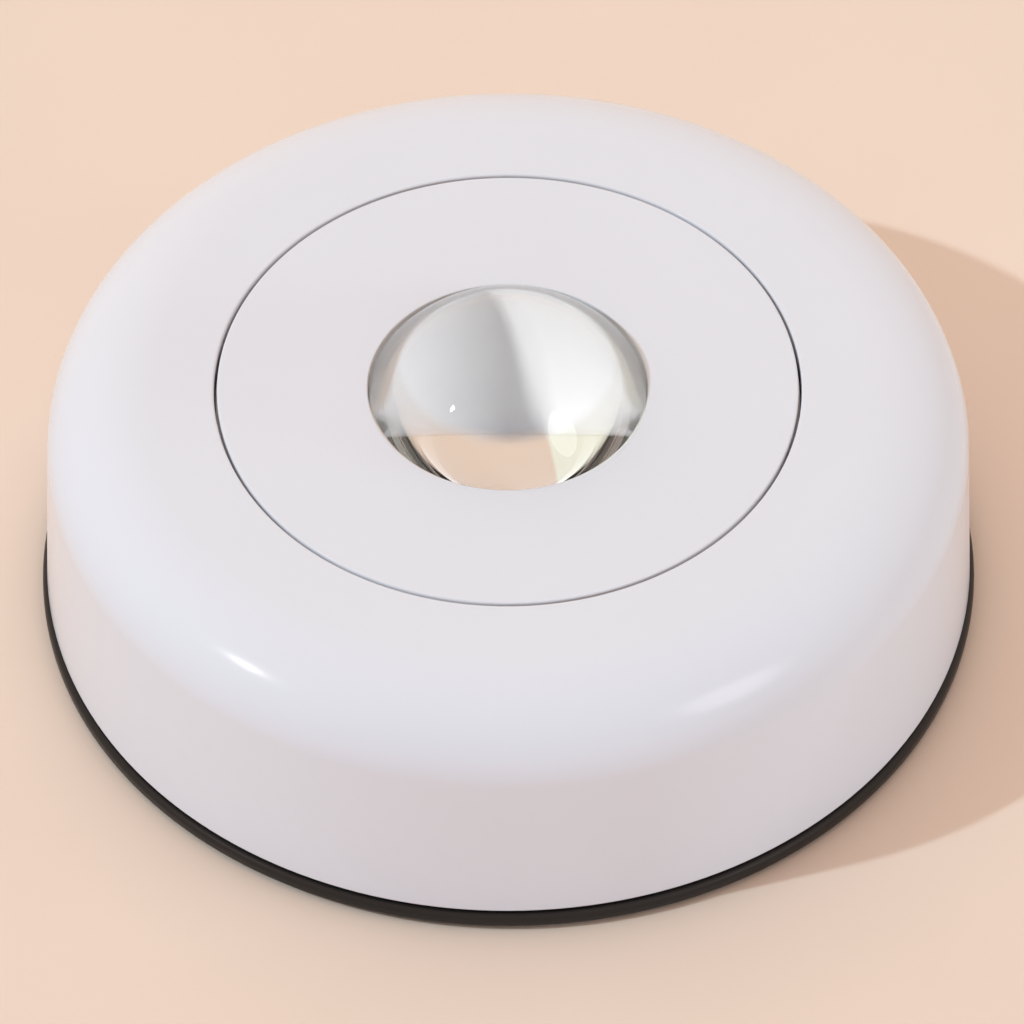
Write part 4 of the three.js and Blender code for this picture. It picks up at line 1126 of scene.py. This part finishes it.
def cell_jacket(name, node, facing, gloss):
    """A cell's plain printed jacket with a band towards its raised end, and bare metal at both ends."""
    tree, shader = node_material(name)
    low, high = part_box(node)
    start, end = sorted((low[1], high[1]), reverse=facing < 0)
    along = computed(tree, "SeparateXYZ", "Y", computed(tree, "TexCoord", "Object"))
    share = computed(tree, "MapRange", 0, along, start, end)
    colours = tree.nodes.new("ShaderNodeValToRGB")
    ramp = colours.color_ramp
    ramp.interpolation = "CONSTANT"
    ramp.elements[0].color = linear(*CELL_METAL_COLOUR)
    ramp.elements[1].position = JACKET_TOP_SHARE
    ramp.elements[1].color = linear(*CELL_METAL_COLOUR)
    ramp.elements.new(JACKET_FOOT_SHARE).color = linear(*JACKET_COLOUR)
    ramp.elements.new(JACKET_BAND_SHARE).color = linear(*BAND_COLOUR)
    put(colours, "Fac", share)
    put(shader, "Base Color", colours.outputs["Color"])
    foot = maths(tree, "LESS_THAN", share, JACKET_FOOT_SHARE)
    bare = maths(tree, "MAXIMUM", foot, maths(tree, "GREATER_THAN", share, JACKET_TOP_SHARE))
    vary(tree, bare, shader, "Metallic", JACKET_METAL_SHARE, 1)
    roughen(tree, JACKET_GLOSS_SCALE, shader, gloss)
    bump(tree, noise(tree, JACKET_GRAIN_SCALE), shader, METAL_GRAIN, JACKET_GRAIN_STRENGTH)


plastic("shell_white", (227, 225, 228), (228, 226, 229), gloss=(0.15, 0.19), grain=2600, strength=0.1)
plastic(
    "chassis_white", (219, 217, 216), (224, 222, 221), gloss=(0.38, 0.46), grain=1800, depth=ROUGH_GRAIN,
)
cone = plastic(
    "reflector_white", (240, 240, 240), (242, 242, 242), gloss=(0.06, 0.08), grain=1800, strength=0.02,
)
put(cone, "Metallic", CONE_METAL_SHARE)
base = plastic("base_black", (24, 22, 22), (29, 26, 26), gloss=(0.34, 0.42), grain=2400, depth=ROUGH_GRAIN)
put(base, "Specular IOR Level", BASE_SHINE)
plastic(
    "dark_plastic", (24, 24, 26), (34, 34, 36),
    gloss=(0.42, 0.52), grain=3000, depth=ROUGH_GRAIN, strength=0.3,
)
plastic("plunger_red", (160, 28, 24), (170, 34, 28), gloss=(0.34, 0.42), grain=3000)
plastic("lead_black", (22, 22, 24), (32, 32, 34), gloss=(0.42, 0.5), grain=2600)
plastic("lead_red", (172, 32, 27), (184, 38, 32), gloss=(0.42, 0.5), grain=2600)
plastic("led_body", (240, 236, 226), (245, 241, 232), gloss=(0.45, 0.55), grain=3200)
plastic(
    "phosphor", (226, 196, 58), (234, 206, 72),
    gloss=(0.3, 0.4), grain=5200, depth=ROUGH_GRAIN, strength=0.4,
)
metal("steel", (178, 181, 185), (190, 193, 197), gloss=(0.24, 0.36), grain=2400)
metal("nickel", (196, 193, 186), (206, 203, 196), gloss=(0.18, 0.3), grain=3200)
foam("foam_pad", (198, 196, 190), (221, 219, 213), gloss=(0.85, 0.95))
clear_plastic("lens_clear", (254, 254, 254), (255, 255, 255))
laminate("board", (228, 231, 225), (236, 238, 233), gloss=(0.35, 0.5))


def dress(piece, body, node, slot, finish=None):
    """Gives a new piece its finish, named by finish or else by slot, puts it on its body and hides the
    node that it stands for.
    """
    piece.data.materials.clear()
    piece.data.materials.append(finishes[finish or slot])
    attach(piece, body)
    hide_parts(node)
    return piece


# Camera: the view of the photograph, from 48 degrees above and far away
CAMERA_ELEVATION = 47.69
CAMERA_DISTANCE = 0.957
CAMERA_LENS = 393.6
CAMERA_ROLL = -0.204
CAMERA_TARGET = Vector((0.00032, 0, 0.00813))
CAMERA_SENSOR = 36
CAMERA_CLIP_SHARE = 0.01


def camera():
    data = bpy.data.cameras.new("camera")
    data.lens = CAMERA_LENS
    data.sensor_width = CAMERA_SENSOR
    data.clip_start = CAMERA_DISTANCE * CAMERA_CLIP_SHARE
    piece = in_scene("camera", data)
    rise = math.radians(CAMERA_ELEVATION)
    back = Vector((0, -math.cos(rise), math.sin(rise)))
    piece.location = CAMERA_TARGET + CAMERA_DISTANCE * back
    turn = back.to_track_quat("Z", "Y").to_matrix().to_4x4() @ turned(CAMERA_ROLL, "Z")
    piece.rotation_euler = turn.to_euler()
    bpy.context.scene.camera = piece


# Floor: half of its side in metres, its colour, and the two that its surface drifts between
FLOOR_HALF = 3
FLOOR_COLOUR = linear(238, 213, 193)
FLOOR_DRIFT = ((237, 212, 192), (239, 214, 194))
FLOOR_DRIFT_SCALE = 40
FLOOR_ROUGHNESS = 0.85
FLOOR_SHINE = 0.2


def floor():
    bm = bmesh.new()
    bmesh.ops.create_grid(bm, x_segments=1, y_segments=1, size=FLOOR_HALF)
    piece = finish_mesh("floor", bm)
    tree, shader = node_material("floor")
    tint(tree, noise(tree, FLOOR_DRIFT_SCALE), shader, *FLOOR_DRIFT)
    put(shader, "Roughness", FLOOR_ROUGHNESS)
    put(shader, "Specular IOR Level", FLOOR_SHINE)
    piece.data.materials.append(finishes["floor"])


# Light: pale surroundings, a small key lamp from the left and a soft low lamp at the right. Gloss
# mirrors a glint lamp and a side lamp in place of those two.
# Soft light from above, behind and below in front: a direction and the colour that it adds there
FILL_SIDES = [
    ((0, 0, 1), (0.93, 0.795, 0.73)),
    ((-0.4, 1, 0.2), (0.6, 0.56, 0.53)),
    ((0, -1, -2), (1.2, 1.45, 1.95)),
]
# What is seen through the lens, mirrored by the bright bowl under it: a grey room that grows lighter
# towards the right, a white window high on the left, and lower down a peach and a cream screen
ROOM = (0.31, 0.31, 0.34)
ROOM_SIDES = [((1, 0, 0), (1.4, 1.45, 1.52))]
WINDOW = (1.44, 1.46, 1.5)
WINDOW_SLANT = (-0.965, -0.258, -0.034)
WINDOW_EDGE = 0.05
PEACH_SCREEN = linear(229, 204, 184)
CREAM_SCREEN = linear(238, 236, 216)
SCREEN_SLANT = (1, 0.41, -0.19)
SCREEN_EDGE = 0.01
SCREEN_TOP = 0.62
SCREEN_TOP_EDGE = 0.03


def far_lamp(name, towards, colour, strength, angle, mirrored):
    """A far lamp that is either only mirrored by gloss or only lights what it falls on."""
    lamp = bpy.data.lights.new(name, "SUN")
    lamp.energy = strength
    lamp.color = colour
    lamp.angle = math.radians(angle)
    piece = in_scene(name, lamp)
    piece.rotation_euler = Vector(towards).normalized().to_track_quat("Z", "Y").to_euler()
    piece.visible_transmission = False
    piece.visible_glossy = mirrored
    piece.visible_diffuse = not mirrored


def lamps():
    far_lamp(
        "key lamp", towards=(-0.705, -0.185, 0.684), colour=(0.55, 0.81, 0.99),
        strength=1.47, angle=1.6, mirrored=False,
    )
    far_lamp(
        "glint lamp", towards=(-0.694, -0.245, 0.675), colour=(1, 1, 1),
        strength=0.18, angle=3.2, mirrored=True,
    )
    far_lamp(
        "low lamp", towards=(0.98, -0.15, 0.07), colour=(0.6, 0.84, 1),
        strength=1.35, angle=20, mirrored=False,
    )
    far_lamp(
        "side lamp", towards=(0.66, -0.46, 0.6), colour=(0.95, 0.98, 1),
        strength=0.24, angle=21, mirrored=True,
    )


def side_light(tree, direction, sides, total=(0, 0, 0)):
    """A light's colour by direction, as a sum of soft sides."""
    for towards, colour in sides:
        share = vector_maths(tree, "DOT_PRODUCT", "Value", direction, towards)
        positive = maths(tree, "MAXIMUM", share, 0)
        total = vector_maths(tree, "MULTIPLY_ADD", "Vector", colour, positive, total)
    return total


def parted(tree, direction, slant, middle, edge, first, second):
    """One colour before a slanting plane and another behind it, with a soft edge."""
    across = vector_maths(tree, "DOT_PRODUCT", "Value", direction, slant)
    share = computed(tree, "MapRange", 0, across, middle - edge, middle + edge)
    colours = tree.nodes.new("ShaderNodeMix")
    colours.data_type = "RGBA"
    put(colours, "Factor", share)
    put(colours, "A", first)
    put(colours, "B", second)
    return colours.outputs["Result"]


def seen_through_lens(tree, direction):
    room = side_light(tree, direction, ROOM_SIDES, ROOM)
    high = parted(tree, direction, WINDOW_SLANT, 0, WINDOW_EDGE, room, (*WINDOW, 1))
    low = parted(tree, direction, SCREEN_SLANT, 0, SCREEN_EDGE, CREAM_SCREEN, PEACH_SCREEN)
    return parted(tree, direction, (0, 0, 1), SCREEN_TOP, SCREEN_TOP_EDGE, low, high)


def surroundings():
    """Soft fill light. Looked at directly or in gloss, it is as pale as the floor."""
    world = bpy.data.worlds.new("surroundings")
    bpy.context.scene.world = world
    world.use_nodes = True
    tree = world.node_tree
    tree.nodes.clear()
    output = tree.nodes.new("ShaderNodeOutputWorld")
    direction = computed(tree, "TexCoord", "Generated")
    path = tree.nodes.new("ShaderNodeLightPath")
    fill = computed(tree, "Background", 0, side_light(tree, direction, FILL_SIDES))
    pale = computed(tree, "Background", 0, FLOOR_COLOUR)
    through = computed(tree, "Background", 0, seen_through_lens(tree, direction))
    looked_at = maths(tree, "MAXIMUM", path.outputs["Is Camera Ray"], path.outputs["Is Glossy Ray"])
    direct = computed(tree, "MixShader", 0, looked_at, fill, pale)
    light = computed(tree, "MixShader", 0, path.outputs["Is Transmission Ray"], direct, through)
    put(output, "Surface", light)


bpy.context.scene.view_settings.view_transform = "Standard"
camera()
floor()
lamps()
surroundings()

dress(foam_pad(), "mount", "adhesive_pad", "foam_pad")
dress(twist_base(), "mount", "mounting_base", "base_black")

dress(housing_shell(), "light", "housing", "shell_white")
dress(back_plate(), "light", "back_plate", "chassis_white")
for i, place in enumerate(SCREW_PLACES, 1):
    dress(body_screw(i, place), "light", f"body_screw_{i}", "steel")
dress(board(), "light", "circuit_board", "board")
for i, place in enumerate(BOARD_SCREW_PLACES, 1):
    dress(board_screw(i, place), "light", f"board_screw_{i}", "steel")
dress(led_body(), "light", "led_package", "led_body")
dress(led_dome(), "light", "led_phosphor", "phosphor")
dress(chip_resistor(), "light", "resistor", "dark_plastic")
dress(switch_box(), "light", "switch_body", "dark_plastic")
dress(plunger(), "plunger", "switch_plunger", "plunger_red")

left, middle, right = -CELL_SPACING, 0, CELL_SPACING
for i, (place, facing) in enumerate(((left, 1), (middle, -1), (right, 1)), 1):
    cell_jacket(f"cell_jacket_{i}", f"cell_{i}", facing, gloss=(0.28, 0.36))
    dress(slim_cell(i, facing), "light", f"cell_{i}", "cell_sleeve", f"cell_jacket_{i}")
    dress(cell_spring(i, place, facing), "light", f"cell_spring_{i}", "nickel")
for name, places, end, dimple_place, tab_side in (
    ("negative", (left, left), -1, None, -1),
    ("link_a", (left, middle), 1, left, None),
    ("link_b", (middle, right), -1, middle, None),
    ("positive", (right, right), 1, right, 1),
):
    plate = contact(f"plate_{name}", places, end, dimple_place, tab_side)
    dress(plate, "light", f"contact_{name}", "nickel")
dress(lead("lead_negative", -1), "light", "wire_negative", "lead_black")
dress(lead("lead_positive", 1), "light", "wire_positive", "lead_red")

dress(press_disc(), "button", "press_disc", "shell_white")
dress(lens_dome(), "button", "lens", "lens_clear")
dress(reflector_cone(), "button", "reflector_ring", "reflector_white")
for i, place in enumerate(SPRING_PLACES, 1):
    spring = dress(return_spring(i, place), "light", f"return_spring_{i}", "steel")
    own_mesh(spring)
